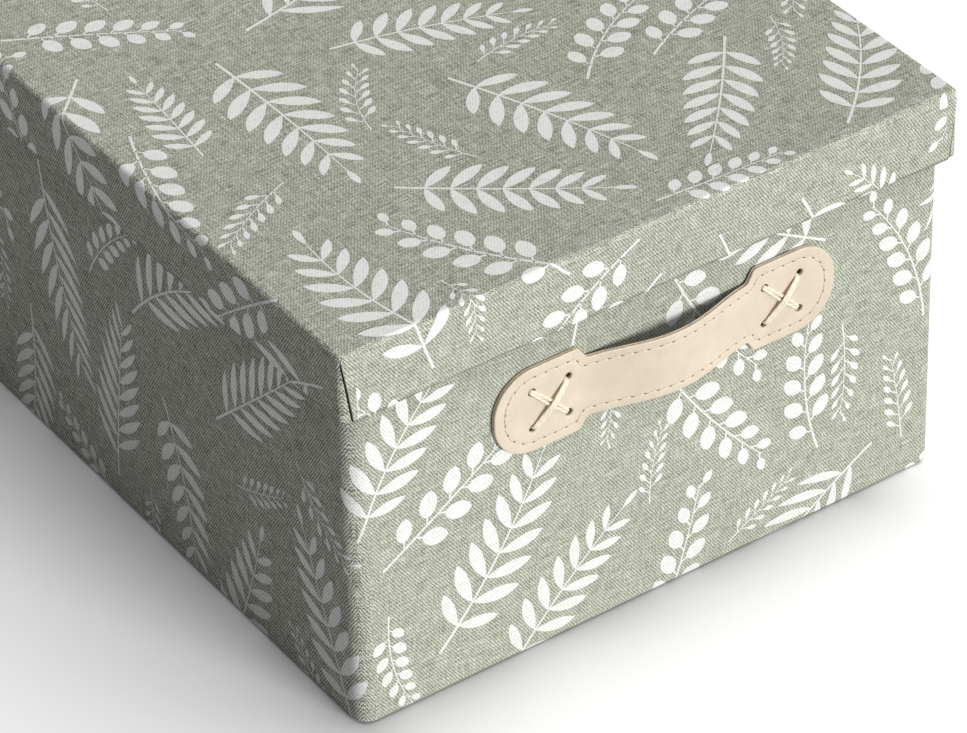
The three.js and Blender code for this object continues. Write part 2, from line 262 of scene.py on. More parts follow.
def drill(piece: Piece, pins: Surface) -> None:
    """Cuts closed pins out of a piece and keeps the result.

    Args:
        piece: the piece.
        pins: what to take away.
    """
    tool = make_piece(f"{piece.name}_pins", pins, [])
    cut = piece.modifiers.new("holes", "BOOLEAN")
    cut.operation, cut.solver, cut.object = "DIFFERENCE", "EXACT", tool
    graph = bpy.context.evaluated_depsgraph_get()
    holed, old = bpy.data.meshes.new_from_object(piece.evaluated_get(graph)), piece.data
    piece.modifiers.clear()
    piece.data = holed
    bpy.data.meshes.remove(old)
    bpy.data.objects.remove(tool)
    holed.set_sharp_from_angle(angle=math.radians(SHARP_DEGREES))


def tube(path: Array, side: Array, across: Array, through: Array, sides: int = 10) -> Surface:
    """Carries an oval along a path and closes its ends.

    A point is the path's plus cos a half widths to the side and sin a half thicknesses square to
    side and path.

    Args:
        path: (n, 3) places.
        side: the ways to the oval's broad side.
        across: (n,) half widths.
        through: (n,) half thicknesses.
        sides: points round the oval.

    Returns:
        The tube. Its weave coordinates are distance along and angle round.
    """
    ahead = unit(np.gradient(path, axis=0))
    side = np.broadcast_to(side, path.shape).astype(float)
    side = unit(side - (side * ahead).sum(1, keepdims=True) * ahead)
    lift = np.cross(ahead, side)
    angle = np.linspace(0, 2 * math.pi, sides + 1)
    ring = across[:, None, None] * np.cos(angle)[None, :, None] * side[:, None, :]
    ring = ring + through[:, None, None] * np.sin(angle)[None, :, None] * lift[:, None, :]
    ends = np.repeat(path[[0, -1]][:, None], sides + 1, axis=1)
    rings = np.concatenate([ends[:1], path[:, None, :] + ring, ends[1:]])
    steps = np.linalg.norm(np.diff(path, axis=0), axis=1)
    travel = np.concatenate([[0.0, 0.0], np.cumsum(steps), [steps.sum()]])
    weave = np.stack(np.broadcast_arrays(travel[:, None], angle[None, :]), axis=-1).reshape(-1, 2)
    faces = grid_faces(len(rings), sides + 1)
    return Surface(rings.reshape(-1, 3), faces, weave[faces])


def smooth_path(knots: Array, per_span: int) -> Array:
    """Runs a Catmull-Rom curve through knots.

    On each span it is the cubic whose slopes at the knots are half the chord between neighbours.

    Args:
        knots: (n, k) places, and what else goes with them.
        per_span: points on each span.

    Returns:
        The curve's points.
    """
    padded = np.concatenate([[2 * knots[0] - knots[1]], knots, [2 * knots[-1] - knots[-2]]])
    a, b, c, d = (padded[i : len(padded) - 3 + i, None, :] for i in range(4))
    t = np.linspace(0, 1, per_span, endpoint=False)[None, :, None]
    places = b + t * (c - a) / 2
    places = places + t**2 * (a - 2.5 * b + 2 * c - d / 2)
    places = places + t**3 * (1.5 * (b - c) + (d - a) / 2)
    return np.concatenate([places.reshape(-1, knots.shape[1]), knots[-1:]])


# Finishes


class Bench:
    """A material in the making: its nodes, its shader, and patterns measured in millimetres."""

    def __init__(self, name: str, shader: str = "BsdfPrincipled") -> None:
        """Starts a material with one shader.

        Args:
            name: its name.
            shader: the shader's type.
        """
        self.material = bpy.data.materials.new(name)
        self.material.use_nodes = True
        self.tree = self.material.node_tree
        self.tree.nodes.clear()
        self.shader = add_node(self.tree, shader)
        add_node(self.tree, "OutputMaterial", {"Surface": self.shader.outputs["BSDF"]})

    def link(self, source: Socket, name: str) -> None:
        """Feeds one of the shader's inputs."""
        self.tree.links.new(source, self.shader.inputs[name])

    def place(self, woven: bool) -> Socket:
        """The cloth's coordinates, or else the object's, in millimetres."""
        if woven:
            read = add_node(self.tree, "UVMap", uv_map=WEAVE).outputs["UV"]
        else:
            read = add_node(self.tree, "TexCoord").outputs["Object"]
        inputs = {0: read, "Scale": METRE}
        return add_node(self.tree, "VectorMath", inputs, operation="SCALE").outputs[0]

    def grains(
        self, place: Socket, size: float | Triple, detail: float = 2.0, output: int = 0
    ) -> Socket:
        """Adds a noise.

        Args:
            place: where it is read.
            size: its grains' size, or one for each axis.
            detail: how many finer layers it has.
            output: 0 for one value, 1 for three.

        Returns:
            The noise, 0 to 1.
        """
        sizes = size if isinstance(size, tuple) else (size, size, size)
        inputs = {0: place, 1: tuple(1 / each for each in sizes)}
        spot = add_node(self.tree, "VectorMath", inputs, operation="MULTIPLY").outputs[0]
        inputs = {"Vector": spot, "Scale": 1.0, "Detail": detail, "Roughness": NOISE_ROUGHNESS}
        return add_node(self.tree, "TexNoise", inputs).outputs[output]

    def ridges(self, place: Socket, direction: Triple, spacing: float) -> Socket:
        """Adds the sine of the distance along a direction, with crests a spacing apart."""
        turns = tuple(2 * math.pi / spacing * part for part in direction)
        phase = add_node(self.tree, "VectorMath", {0: place, 1: turns}, operation="DOT_PRODUCT")
        return add_node(self.tree, "Math", {0: phase.outputs["Value"]}, operation="SINE").outputs[0]

    def mixed(self, shares: list[tuple[Socket, float, float]], start: float = 0.5) -> Socket:
        """Adds patterns up: the start plus each one's distance from its middle times its weight.

        Args:
            shares: each pattern, its weight and its middle.
            start: the sum with every pattern at its middle.

        Returns:
            The sum.
        """
        total: Any = start - sum(weight * middle for _, weight, middle in shares)
        for source, weight, _ in shares:
            inputs = {0: source, 1: weight, 2: total}
            total = add_node(self.tree, "Math", inputs, operation="MULTIPLY_ADD").outputs[0]
        return total

    def facing(self, source: Socket, gains: Triple) -> Socket:
        """A pattern times one plus the gain of each object axis that the face looks along."""
        normal = add_node(self.tree, "TexCoord").outputs["Normal"]
        size = add_node(self.tree, "VectorMath", {0: normal}, operation="ABSOLUTE").outputs[0]
        share = add_node(self.tree, "VectorMath", {0: size, 1: gains}, operation="DOT_PRODUCT")
        inputs = {0: share.outputs["Value"], 1: source, 2: source}
        return add_node(self.tree, "Math", inputs, operation="MULTIPLY_ADD").outputs[0]

    def dress(
        self,
        tone: Socket,
        stops: Row,
        tones: Tones,
        roughness: float,
        height: Optional[Socket] = None,
        depth: float = 0.0,
        specular: float = 0.5,
        painted_shade: Optional[str] = None,
    ) -> Material:
        """Colours the shader by a tone, and gives it its gloss and relief.

        Args:
            tone: a pattern from 0 to 1.
            stops: the places on it that have a colour.
            tones: the colours.
            roughness: how dull it is.
            height: the pattern of the relief.
            depth: the relief's depth.
            specular: how strongly it mirrors.
            painted_shade: the dark colour of the painted shade, laid on by the marks of that name.

        Returns:
            The material.
        """
        ramp = add_node(self.tree, "ValToRGB", {"Fac": tone})
        marks = ramp.color_ramp.elements
        marks[1].position = stops[-1]
        marks[0].position = stops[0]
        for position in stops[1:-1]:
            marks.new(position)
        for mark, colour in zip(marks, tones):
            mark.color = linear_colour(colour)
        colour = ramp.outputs["Color"]
        # Painted shade: the mark pulls the colour towards a dark one.
        if painted_shade:
            mark = add_node(self.tree, "Attribute", attribute_name=PAINTED_SHADE).outputs["Fac"]
            inputs = {0: mark, 6: colour, 7: linear_colour(painted_shade)}
            colour = add_node(self.tree, "Mix", inputs, data_type="RGBA").outputs[2]
        self.link(colour, "Base Color")
        self.shader.inputs["Roughness"].default_value = roughness
        self.shader.inputs["Specular IOR Level"].default_value = specular
        if height is not None:
            inputs = {"Distance": depth / METRE, "Strength": 1.0, "Height": height}
            self.link(add_node(self.tree, "Bump", inputs).outputs["Normal"], "Normal")
        return self.material


class Finish:
    """A real material and how its surface was made."""

    def build(self) -> Material:
        """Makes the material."""
        raise NotImplementedError


@dataclass(frozen=True)
class TwillWeave(Finish):
    """A cotton-look twill's pattern, shared by the bare cloth and the ink printed on it.

    The wales climb at 56 degrees. The slubs are thicker lengths of yarn, both ways. The weights
    are those of wales, floats, flecks, weft slubs, warp slubs and patches. On the lid's top the
    wales are calmer and the rest stronger, and the long sides show more of everything: painted
    light and shade, for how the weave's relief catches the lamps on each side.
    """

    wale_spacing: float = 1.23
    wale_degrees: float = 56.0
    float_spacing: float = 1.0
    float_direction: Triple = (0.5, 0.87, 0.0)
    slub_length: float = 9.0
    slub_width: float = 0.75
    fleck_size: float = 0.58
    patch_size: float = 60.0
    sway_size: float = 5.0
    sway: Triple = (1.3, 1.3, 0.0)
    tone_weights: Row = (0.25, 0.12, 1.65, 0.9, 0.7, 0.12)
    height_weights: Row = (0.3, 0.2, 0.5, 0.3)
    middles: Row = (0.0, 0.0, 0.5, 0.5, 0.5, 0.5)
    # Painted light and shade: the pattern's swing on cloth facing up and along X.
    painted_calm_above: float = 0.72
    painted_side_gain: float = 1.6
    painted_top_gain: float = 0.3
    painted_side_floats: float = 0.5

    def tone_and_height(self, bench: Bench) -> tuple[Socket, Socket]:
        """Adds the pattern: sines of wales and floats, flecks, slubs and patches, weighted.

        The tone's swing goes by how the cloth faces, as painted light and shade. The height leaves
        out that, the warp slubs and the patches.

        Args:
            bench: the material in the making.

        Returns:
            The tone and the height, about 0 to 1.
        """
        flat = bench.place(woven=True)
        inputs = {0: bench.grains(flat, self.sway_size, output=1), 1: self.sway, 2: flat}
        moved = add_node(bench.tree, "VectorMath", inputs, operation="MULTIPLY_ADD").outputs[0]
        turn = math.radians(self.wale_degrees)
        along_wales = math.sin(turn), -math.cos(turn), 0
        wales = bench.ridges(moved, along_wales, self.wale_spacing)
        floats = bench.ridges(moved, self.float_direction, self.float_spacing)
        fleck = bench.grains(flat, self.fleck_size)
        weft = bench.grains(moved, (self.slub_length, self.slub_width, 1), 1.0)
        warp = bench.grains(moved, (self.slub_width, self.slub_length, 1), 1.0)
        patch = bench.grains(flat, self.patch_size, 1.0)
        calm = bench.facing(wales, (0.0, 0.0, -self.painted_calm_above))
        crossed = bench.facing(floats, (self.painted_side_floats, 0.0, 0.0))
        patterns = [calm, crossed, fleck, weft, warp, patch]
        swing = bench.mixed(list(zip(patterns, self.tone_weights, self.middles)), 0.0)
        tone = bench.mixed([(bench.facing(swing, (self.painted_side_gain, 0.0, self.painted_top_gain)), 1.0, 0.0)])
        patterns = [wales, floats, fleck, weft]
        return tone, bench.mixed(list(zip(patterns, self.height_weights, self.middles)))


@dataclass(frozen=True)
class SageTwill(TwillWeave):
    """Cotton-look twill in sage green, of two tones of yarn: dull, slanting wales, many slubs."""

    tones: Tones = ("6e7264", "aaad9d", "e0e3d4")
    # The painted shade's colour, in folds, slits and below the lid's skirt.
    shade: str = "15160f"

    def build(self) -> Material:
        """Makes the material. A mark paints shade in folds, slits and below the skirt."""
        bench = Bench("sage_twill")
        tone, height = self.tone_and_height(bench)
        bench.dress(tone, (0.0, 0.5, 1.0), self.tones, 0.92, height, 0.1, 0.2, self.shade)
        bench.shader.inputs["Sheen Weight"].default_value = 0.08
        return bench.material


@dataclass(frozen=True)
class WhiteInk(TwillWeave):
    """White pigment ink screen printed on the twill: satin, and the weave still shows through."""

    tones: Tones = ("c9cac6", "edece8", "f0efec")

    def build(self) -> Material:
        """Makes the material: the ink is thinner where the cloth's tone is at its lowest."""
        bench = Bench("white_print")
        tone, height = self.tone_and_height(bench)
        return bench.dress(tone, (0.0, 0.4, 1.0), self.tones, 0.52, height, 0.05, 0.8)


@dataclass(frozen=True)
class PlainCotton(Finish):
    """Undyed cotton in a plain weave of 0.9 spacing, drawn a little coarser than real to show."""

    tones: Tones = ("b3ad9c", "d8d3c5", "e9e5da")
    spacing: float = 0.9
    slub: tuple[float, float] = (11.0, 0.9)

    def build(self) -> Material:
        """Makes the material: the product of two sines is the chequer of a plain weave."""
        bench = Bench("plain_cotton")
        flat = bench.place(woven=True)
        warp, weft = (bench.ridges(flat, way, self.spacing) for way in ((1, 0, 0), (0, 1, 0)))
        chequer = add_node(bench.tree, "Math", {0: warp, 1: weft}, operation="MULTIPLY").outputs[0]
        slub = bench.grains(flat, (*self.slub, 1))
        rib = bench.grains(flat, (*self.slub[::-1], 1))
        patch = bench.grains(flat, 45.0)
        shares = [(chequer, 0.25, 0.0), (slub, 0.9, 0.5), (rib, 0.7, 0.5), (patch, 0.3, 0.5)]
        tone = bench.mixed(shares)
        return bench.dress(tone, (0.0, 0.5, 1.0), self.tones, 0.93, tone, 0.12, 0.2)


@dataclass(frozen=True)
class GreyBoard(Finish):
    """Recycled grey board, rolled flat: dull, with short fibres and darker specks."""

    tones: Tones = ("6f675a", "9a9182", "b9b1a2")

    def build(self) -> Material:
        """Makes the material of fibres about 4 long and fine specks."""
        bench = Bench("grey_board")
        solid = bench.place(woven=False)
        fibre = bench.grains(solid, (4.0, 0.5, 0.5), 3.0)
        speck = bench.grains(solid, 0.9, 4.0)
        tone = bench.mixed([(fibre, 0.8, 0.5), (speck, 1.1, 0.5)])
        return bench.dress(tone, (0.1, 0.5, 0.9), self.tones, 0.88, tone, 0.08)


@dataclass(frozen=True)
class SmoothLeather(Finish):
    """Vegetable tanned leather in nude, finished smooth: soft gloss, fine pores, faint clouding."""

    tones: Tones = ("cfbda8", "d9cab6", "e3d6c5")
    pore_size: float = 0.55

    def build(self) -> Material:
        """Makes the material: clouds in the colour, pores and long faint creases in the relief."""
        bench = Bench("nude_leather")
        solid = bench.place(woven=False)
        cloud = bench.grains(solid, 13.0, 3.0)
        pore = bench.grains(solid, self.pore_size)
        pull = bench.grains(solid, (1.1, 9.0, 9.0))
        tone = bench.mixed([(cloud, 0.9, 0.5), (pore, 0.45, 0.5), (pull, 0.25, 0.5)])
        height = bench.mixed([(pore, 0.8, 0.5), (pull, 0.6, 0.5)])
        bench.dress(tone, (0.1, 0.5, 0.9), self.tones, 0.52, height, 0.05)
        bench.link(bench.mixed([(cloud, 0.25, 0.5), (pore, 0.2, 0.5)], 0.52), "Roughness")
        return bench.material


@dataclass(frozen=True)
class CutLeather(Finish):
    """The cut edge or flesh side of leather: dull, matted fibres a few tenths thick."""

    name: str
    tones: Tones

    def build(self) -> Material:
        """Makes the material of short fibres in layers."""
        bench = Bench(self.name)
        solid = bench.place(woven=False)
        fibre = bench.grains(solid, (1.2, 0.25, 1.2), 3.0)
        patch = bench.grains(solid, 3.0)
        tone = bench.mixed([(fibre, 1.1, 0.5), (patch, 0.7, 0.5)])
        return bench.dress(tone, (0.1, 0.5, 0.9), self.tones, 0.85, fibre, 0.1)


@dataclass(frozen=True)
class TwistedCord(Finish):
    """Cotton twisted of several plies, waxed or plain: the plies show as slanting ridges."""

    name: str
    tones: Tones
    lay: float
    plies: int
    roughness: float
    depth: float

    def build(self) -> Material:
        """Makes the material: the sine of distance and angle together draws the plies."""
        bench = Bench(self.name)
        flat = bench.place(woven=True)
        ridge = bench.ridges(flat, (1, self.plies * self.lay / (2 * math.pi), 0), self.lay)
        fibre = bench.grains(flat, (1.4, 0.35, 1))
        tone = bench.mixed([(ridge, 0.22, 0.0), (fibre, 0.8, 0.5)])
        marks = 0.05, 0.5, 1.0
        return bench.dress(tone, marks, self.tones, self.roughness, tone, self.depth)


@dataclass(frozen=True)
class NeedleHoleShade(Finish):
    """Painted shade of a punched needle hole: dark brown with a little fibre."""

    tones: Tones = ("5e4830", "86694a")

    def build(self) -> Material:
        """Makes the material."""
        bench = Bench("needle_hole_shade")
        fibre = bench.grains(bench.place(woven=False), 0.4)
        return bench.dress(fibre, (0.3, 0.7), self.tones, 0.95)


def seeing_rays(tree: bpy.types.NodeTree) -> Socket:
    """1 for camera, glossy and transmission rays, to which the studio is white, and 0 for light."""
    ray = add_node(tree, "LightPath").outputs
    seen = ray["Is Camera Ray"]
    for other in ("Is Glossy Ray", "Is Transmission Ray"):
        seen = add_node(tree, "Math", {0: seen, 1: ray[other]}, operation="MAXIMUM").outputs[0]
    return seen


@dataclass(frozen=True)
class StudioFloor(Finish):
    """White studio paper. The camera sees it brighter than the light does, so it stays white."""

    bounce: str = "b4b4b4"
    seen: float = 1.3
    shade_middle: Triple = (-21.0, -210.4, 0.0)
    shade_half: Triple = (131.0, 0.0, 0.0)
    shade_share: float = 0.47
    shade_reach: float = 27.0

    def contact_shade(self, bench: Bench) -> Socket:
        """How bright the paper is near the front wall's foot, where the wall hides its light.

        It is one less a share that falls by the factor e with each reach from the foot.

        Args:
            bench: the material in the making.

        Returns:
            The brightness, 0 to 1.
        """
        level = bench.place(woven=False)
        for way, operand in (
            ("SUBTRACT", {1: self.shade_middle}),
            ("ABSOLUTE", {}),
            ("SUBTRACT", {1: self.shade_half}),
            ("MAXIMUM", {1: (0.0, 0.0, 0.0)}),
        ):
            inputs = {0: level, **operand}
            level = add_node(bench.tree, "VectorMath", inputs, operation=way).outputs[0]
        level = add_node(bench.tree, "VectorMath", {0: level}, operation="LENGTH").outputs["Value"]
        for way, operands in (
            ("MULTIPLY", {1: -1 / self.shade_reach}),
            ("EXPONENT", {}),
            ("MULTIPLY_ADD", {1: -self.shade_share, 2: 1.0}),
        ):
            level = add_node(bench.tree, "Math", {0: level, **operands}, operation=way).outputs[0]
        return level

    def build(self) -> Material:
        """Makes the material: a diffuse floor whose colour is higher for camera rays."""
        bench = Bench("studio_paper", "BsdfDiffuse")
        inputs = {0: self.contact_shade(bench), 1: self.seen}
        bright = add_node(bench.tree, "Math", inputs, operation="MULTIPLY").outputs[0]
        inputs = {0: seeing_rays(bench.tree), 6: linear_colour(self.bounce), 7: bright}
        bench.link(add_node(bench.tree, "Mix", inputs, data_type="RGBA").outputs[2], "Color")
        return bench.material


def made(finish: Finish) -> Any:
    """A field that holds a finish's material, built with its owner."""
    return field(default_factory=finish.build)


@dataclass
class Wardrobe:
    """Every finish of the box, made once."""

    cloth: Material = made(SageTwill())
    ink: Material = made(WhiteInk())
    cotton: Material = made(PlainCotton())
    board: Material = made(GreyBoard())
    leather: Material = made(SmoothLeather())
    cut_edge: Material = made(CutLeather("leather_cut_edge", ("d3c3ad", "e8dac6", "f3e8d9")))
    backing_edge: Material = made(CutLeather("backing_edge", ("b5a28a", "d3c2ab", "e5d7c3")))
    # Near-black on the backing's lower edge and back: painted shade where the handle meets the
    # wall.
    backing: Material = made(CutLeather("backing_leather", ("261e16", "46392c", "67563f")))
    stitch: Material = made(
        TwistedCord("sewing_thread", ("b5a083", "e4d5bd", "f6f1e3"), 1.1, 3, 0.7, 0.06)
    )
    cord: Material = made(
        TwistedCord("waxed_cord", ("cbba99", "eee4cf", "f6f1e3"), 3.6, 2, 0.42, 0.07)
    )
    needle_hole_shade: Material = made(NeedleHoleShade())


# Wrapped cloth


@dataclass(frozen=True)
class Plan:
    """A rectangle with round corners, seen from above."""

    half_width: float
    half_depth: float
    corner_radius: float
    crease_radius: float = 0.3

    @property
    def runs(self) -> Array:
        """Where each straight side and each corner ends, along the outline from the front side."""
        halves = (self.half_width, self.half_depth)
        wide, deep = (2 * (half - self.corner_radius) for half in halves)
        turn = math.pi / 2 * self.corner_radius
        return np.cumsum([0, wide, turn, deep, turn, wide, turn, deep, turn])

    @property
    def length(self) -> float:
        """The outline's length."""
        return float(self.runs[-1])

    @property
    def corner_middles(self) -> Array:
        """Where the middle of each corner is along the outline, front right first."""
        return (self.runs[1:-1:2] + self.runs[2::2]) / 2

    def place(self, along: Array, inset: Array) -> tuple[Array, Array]:
        """Finds places on the outline drawn in by an inset.

        A side's place is between its corner centres, one radius out, and a corner's is one radius
        from its centre at its share of the turn.

        Args:
            along: distances along the full outline.
            inset: how far in.

        Returns:
            The places and the ways out, x and y on the last axis.
        """
        along, inset = np.broadcast_arrays(along, inset)
        runs = self.runs
        wrapped = np.where(along == runs[-1], along, np.mod(along, runs[-1]))
        run = np.clip(np.searchsorted(runs, wrapped, side="right") - 1, 0, 7)
        share = (wrapped - runs[run]) / (runs[run + 1] - runs[run])
        radius = np.maximum(self.corner_radius - inset, self.crease_radius)
        signs = np.array([[1, -1], [1, 1], [-1, 1], [-1, -1]], float)
        halves = (self.half_width, self.half_depth)
        reach = np.stack([half - inset - radius for half in halves], axis=-1)
        side, at_corner = run // 2, run % 2 == 1
        corner, before = signs[side] * reach, signs[side - 1] * reach
        between = before + (corner - before) * share[..., None]
        centre = np.where(at_corner[..., None], corner, between)
        angle = (side - 1) * math.pi / 2 + np.where(at_corner, share, 0.0) * math.pi / 2
        outward = directions(angle)
        return centre + outward * radius[..., None], outward


@dataclass
class Profile:
    """A cloth's path seen in section, with its face on the right as it runs.

    A row is how far in and how high it is, and how far its face looks out and up.
    """

    rows: Array = field(default_factory=lambda: np.zeros((0, 4)))

    def line(self, start: Point, end: Point, step: float) -> "Profile":
        """Adds a straight stretch.

        Args:
            start: its first inset and height.
            end: its last.
            step: the most between two points.

        Returns:
            This profile.
        """
        run = math.dist(start, end)
        way = (end[1] - start[1]) / run, (end[0] - start[0]) / run
        places = np.linspace(start, end, len(spread(0, run, step)))
        return self._add(places, np.broadcast_to(way, places.shape))

    def arc(
        self, centre: Point, radius: float, start: float, end: float, steps: int, facing: int = 1
    ) -> "Profile":
        """Adds a turn: at angle a, radius times cos a out and sin a up. Facing -1 is inwards."""
        ways = directions(np.radians(np.linspace(start, end, steps + 1)))
        return self._add(centre + radius * ways * [-1, 1], facing * ways)

    def _add(self, places: Array, ways: Array) -> "Profile":
        """Adds places, less a first one that is there.

        Args:
            places: (n, 2) insets and heights.
            ways: (n, 2), how far the face looks out and up.

        Returns:
            This profile.
        """
        new = np.column_stack([places, ways])
        if len(self.rows) and math.dist(places[0], self.rows[-1, :2]) < SAME_PLACE:
            new = new[1:]
        self.rows = np.concatenate([self.rows, new])
        return self

    @property
    def travel(self) -> Array:
        """The distance along the path at each of its points."""
        steps = np.diff(self.rows, axis=0)
        return np.concatenate([[0.0], np.cumsum(np.hypot(steps[:, 0], steps[:, 1]))])

    def find(self, inset: float, height: float) -> float:
        """The distance along the path at its point nearest to a place."""
        gaps = np.hypot(self.rows[:, 0] - inset, self.rows[:, 1] - height)
        return float(self.travel[int(np.argmin(gaps))])

    def inset_at(self, travel: Array) -> Array:
        """How far in from the plan's outline it is at distances along it."""
        return np.interp(travel, self.travel, self.rows[:, 0])


@dataclass
class WrappedCloth:
    """A cloth glued round a box: a profile carried round a plan, with the cloth's thickness.

    along is a distance along the plan's outline, and travel is one along the profile.
    """

    plan: Plan
    profile: Profile
    thickness: float
    station_step: float = 6.0
    corner_steps: int = 12

    def waviness(self, along: Array, travel: Array) -> Array:
        """How far the cloth stands off the boards: nothing on a plain cloth."""
        return np.zeros(np.broadcast(along, travel).shape)

    def doubling(self, along: Array, travel: Array) -> Array:
        """How much the cloth's face alone is raised, where it lies double: nothing here."""
        return np.zeros(np.broadcast(along, travel).shape)

    def shade(self, along: Array, travel: Array) -> Array:
        """The share of painted shade at a point: none here."""
        return np.zeros(np.broadcast(along, travel).shape)

    def shifted(self, along: Array, travel: Array) -> Array:
        """Where a station lies at a travel: not moved here."""
        return along

    def stations(self) -> Array:
        """The distances along the outline of the mesh's columns, closer round the corners."""
        runs, parts = self.plan.runs, []
        for side in range(0, 8, 2):
            parts.append(spread(*runs[side : side + 2], self.station_step)[:-1])
            parts.append(np.linspace(*runs[side + 1 : side + 3], self.corner_steps + 1)[:-1])
        return np.concatenate([*parts, [runs[-1]]])

    def place(self, along: Array, travel: Array, lift: Array) -> Array:
        """Finds places: the outline at the profile's inset and height, moved along the face's way.

        Args:
            along: distances along the plan's outline.
            travel: distances along the profile.
            lift: how far off the profile.

        Returns:
            The places, x, y and z on the last axis.
        """
        known, rows = self.profile.travel, self.profile.rows.T
        inset, height, out, up = (np.interp(travel, known, values) for values in rows)
        flat, outward = self.plan.place(along, inset)
        length = np.hypot(out, up)
        flat = flat + outward * (lift * out / length)[..., None]
        return np.concatenate([flat, (height + lift * up / length)[..., None]], axis=-1)

    def face_lift(self, along: Array, travel: Array) -> Array:
        """How far the cloth's face is from the profile."""
        return self.waviness(along, travel) + self.doubling(along, travel)

    def weave_at(self, along: Array, travel: Array, middle: Array) -> Array:
        """The cloth's own coordinates, mirrored at each corner's middle.

        Args:
            along: the faces' corners, (faces, corners).
            travel: likewise.
            middle: the travel of each face's middle.

        Returns:
            The coordinates, (faces, corners, 2).
        """
        corners, length = self.plan.corner_middles, self.plan.length
        turns = np.concatenate([corners[-1:] - length, corners, corners[:1] + length])
        back_and_forth = np.diff(turns) * np.array([-1, 1, -1, 1, -1])
        heights = np.concatenate([[0.0], np.cumsum(back_and_forth)])
        return np.stack([np.interp(along, turns, heights), travel], axis=-1)

    def rows(self) -> tuple[Array, Array, bool]:
        """The travels of the mesh's rows, which of them are the face, and whether they wrap."""
        travel = self.profile.travel
        both = np.concatenate([travel, travel[::-1]])
        return both, np.arange(len(both)) < len(travel), True

    def finish_rows(self, places: Array) -> Array:
        """Lets a kind of cloth close its rows: nothing to do where they wrap."""
        return places

    def surface(self) -> Surface:
        """Works out the cloth's closed mesh, with the shade as its mark.

        Returns:
            Its face, lifted, and its back, a thickness in.
        """
        travels, is_face, wraps = self.rows()
        stations = self.stations()
        travel, along = np.meshgrid(travels, stations, indexing="ij")
        along = self.shifted(along, travel)
        face = np.broadcast_to(is_face[:, None], along.shape)
        on_face = np.where(face, self.doubling(along, travel), -self.thickness)
        places = self.place(along, travel, self.waviness(along, travel) + on_face)
        faces = grid_faces(len(travels), len(stations), wraps)
        around, down = along.ravel()[faces], travel.ravel()[faces]
        weave = self.weave_at(around, down, down.mean(axis=1))
        shade = np.where(face, self.shade(along, travel), 0.0).ravel()
        return Surface(self.finish_rows(places).reshape(-1, 3), faces, weave, {PAINTED_SHADE: shade})


@dataclass
class CappedCloth(WrappedCloth):
    """A wrapped cloth that also covers the middle of its plan, such as a lid's."""

    def rows(self) -> tuple[Array, Array, bool]:
        """The travels from the middle out on one side of the cloth and back in on the other."""
        travel = self.profile.travel
        ends_in_middle = self.profile.rows[-1, 0] > self.profile.rows[0, 0]
        sides = (travel[::-1], travel) if ends_in_middle else (travel, travel[::-1])
        second = np.arange(2 * len(travel)) >= len(travel)
        return np.concatenate(sides), second == ends_in_middle, False

    def finish_rows(self, places: Array) -> Array:
        """Closes the first and last rows onto the plan's middle line."""
        places[[0, -1], :, 0] = 0.0
        return places


@dataclass(frozen=True)
class BoxSizes:
    """The box's sizes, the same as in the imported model's source."""

    lid_half_width: float = 160.0
    lid_half_depth: float = 215.0
    lid_corner_radius: float = 3.5
    lid_edge_radius: float = 2.5
    box_height: float = 203.0
    skirt_foot: float = 168.5
    skirt_fold_radius: float = 0.9
    skirt_turned_face: float = 3.5
    skirt_board_top: float = 198.7
    lid_lining_gap: float = 0.3
    body_half_width: float = 155.4
    body_half_depth: float = 210.4
    body_corner_radius: float = 8.0
    foot_radius: float = 1.5
    rim_radius: float = 1.2
    rim_top: float = 198.0
    rim_turn_down: float = 18.0
    base_turn_in: float = 16.0
    cover_foot: float = 0.9
    cover_thickness: float = 0.7
    turned_face: float = 4.5
    lining_inset: float = 5.2
    lining_top: float = 186.0
    lining_thickness: float = 0.4
    floor_top: float = 5.1
    base_cloth_margin: float = 6.0
    base_cloth_thickness: float = 0.6
    middle_strip: float = 1.0
    handle_shift: float = 5.0
    handle_height: float = 132.0

    @property
    def body(self) -> Plan:
        """The body's outline from above."""
        return Plan(self.body_half_width, self.body_half_depth, self.body_corner_radius)

    @property
    def lid(self) -> Plan:
        """The lid's outline from above."""
        return Plan(self.lid_half_width, self.lid_half_depth, self.lid_corner_radius)

    def body_profile(self) -> Profile:
        """The body cover's path: from under the bottom up, over the rim and down inside.

        Returns:
            The path.
        """
        foot, rim = self.foot_radius, self.rim_radius
        low, top, face = self.cover_foot, self.rim_top, self.turned_face
        path = Profile().line((self.base_turn_in, low), (foot, low), 4.0)
        path.arc((foot, low + foot), foot, -90, 0, 7)
        path.line((0, low + foot), (0, top - rim), 5.0)
        path.arc((rim, top - rim), rim, 0, 90, 6)
        path.line((rim, top), (face - rim, top), 2.0)
        path.arc((face - rim, top - rim), rim, 90, 180, 6)
        return path.line((face, top - rim), (face, top - self.rim_turn_down), 4.0)

    def lid_profile(self) -> Profile:
        """The lid cover's path: down inside the skirt, round its foot, up and over the top.

        Returns:
            The path.
        """
        fold, edge = self.skirt_fold_radius, self.lid_edge_radius
        foot, top, face = self.skirt_foot, self.box_height, self.skirt_turned_face
        path = Profile().line((face, self.skirt_board_top), (face, foot + fold), 5.0)
        path.arc((face - fold, foot + fold), fold, -180, -90, 5)
        path.line((face - fold, foot), (fold, foot), 2.0)
        path.arc((fold, foot + fold), fold, -90, 0, 5)
        path.line((0, foot + fold), (0, foot + 2 * fold), 3.0)
        path.line((0, foot + 2 * fold), (0, top - edge), 3.0)
        path.arc((edge, top - edge), edge, 0, 90, 8)
        return path.line((edge, top), (self.lid_half_width - self.middle_strip, top), 6.0)


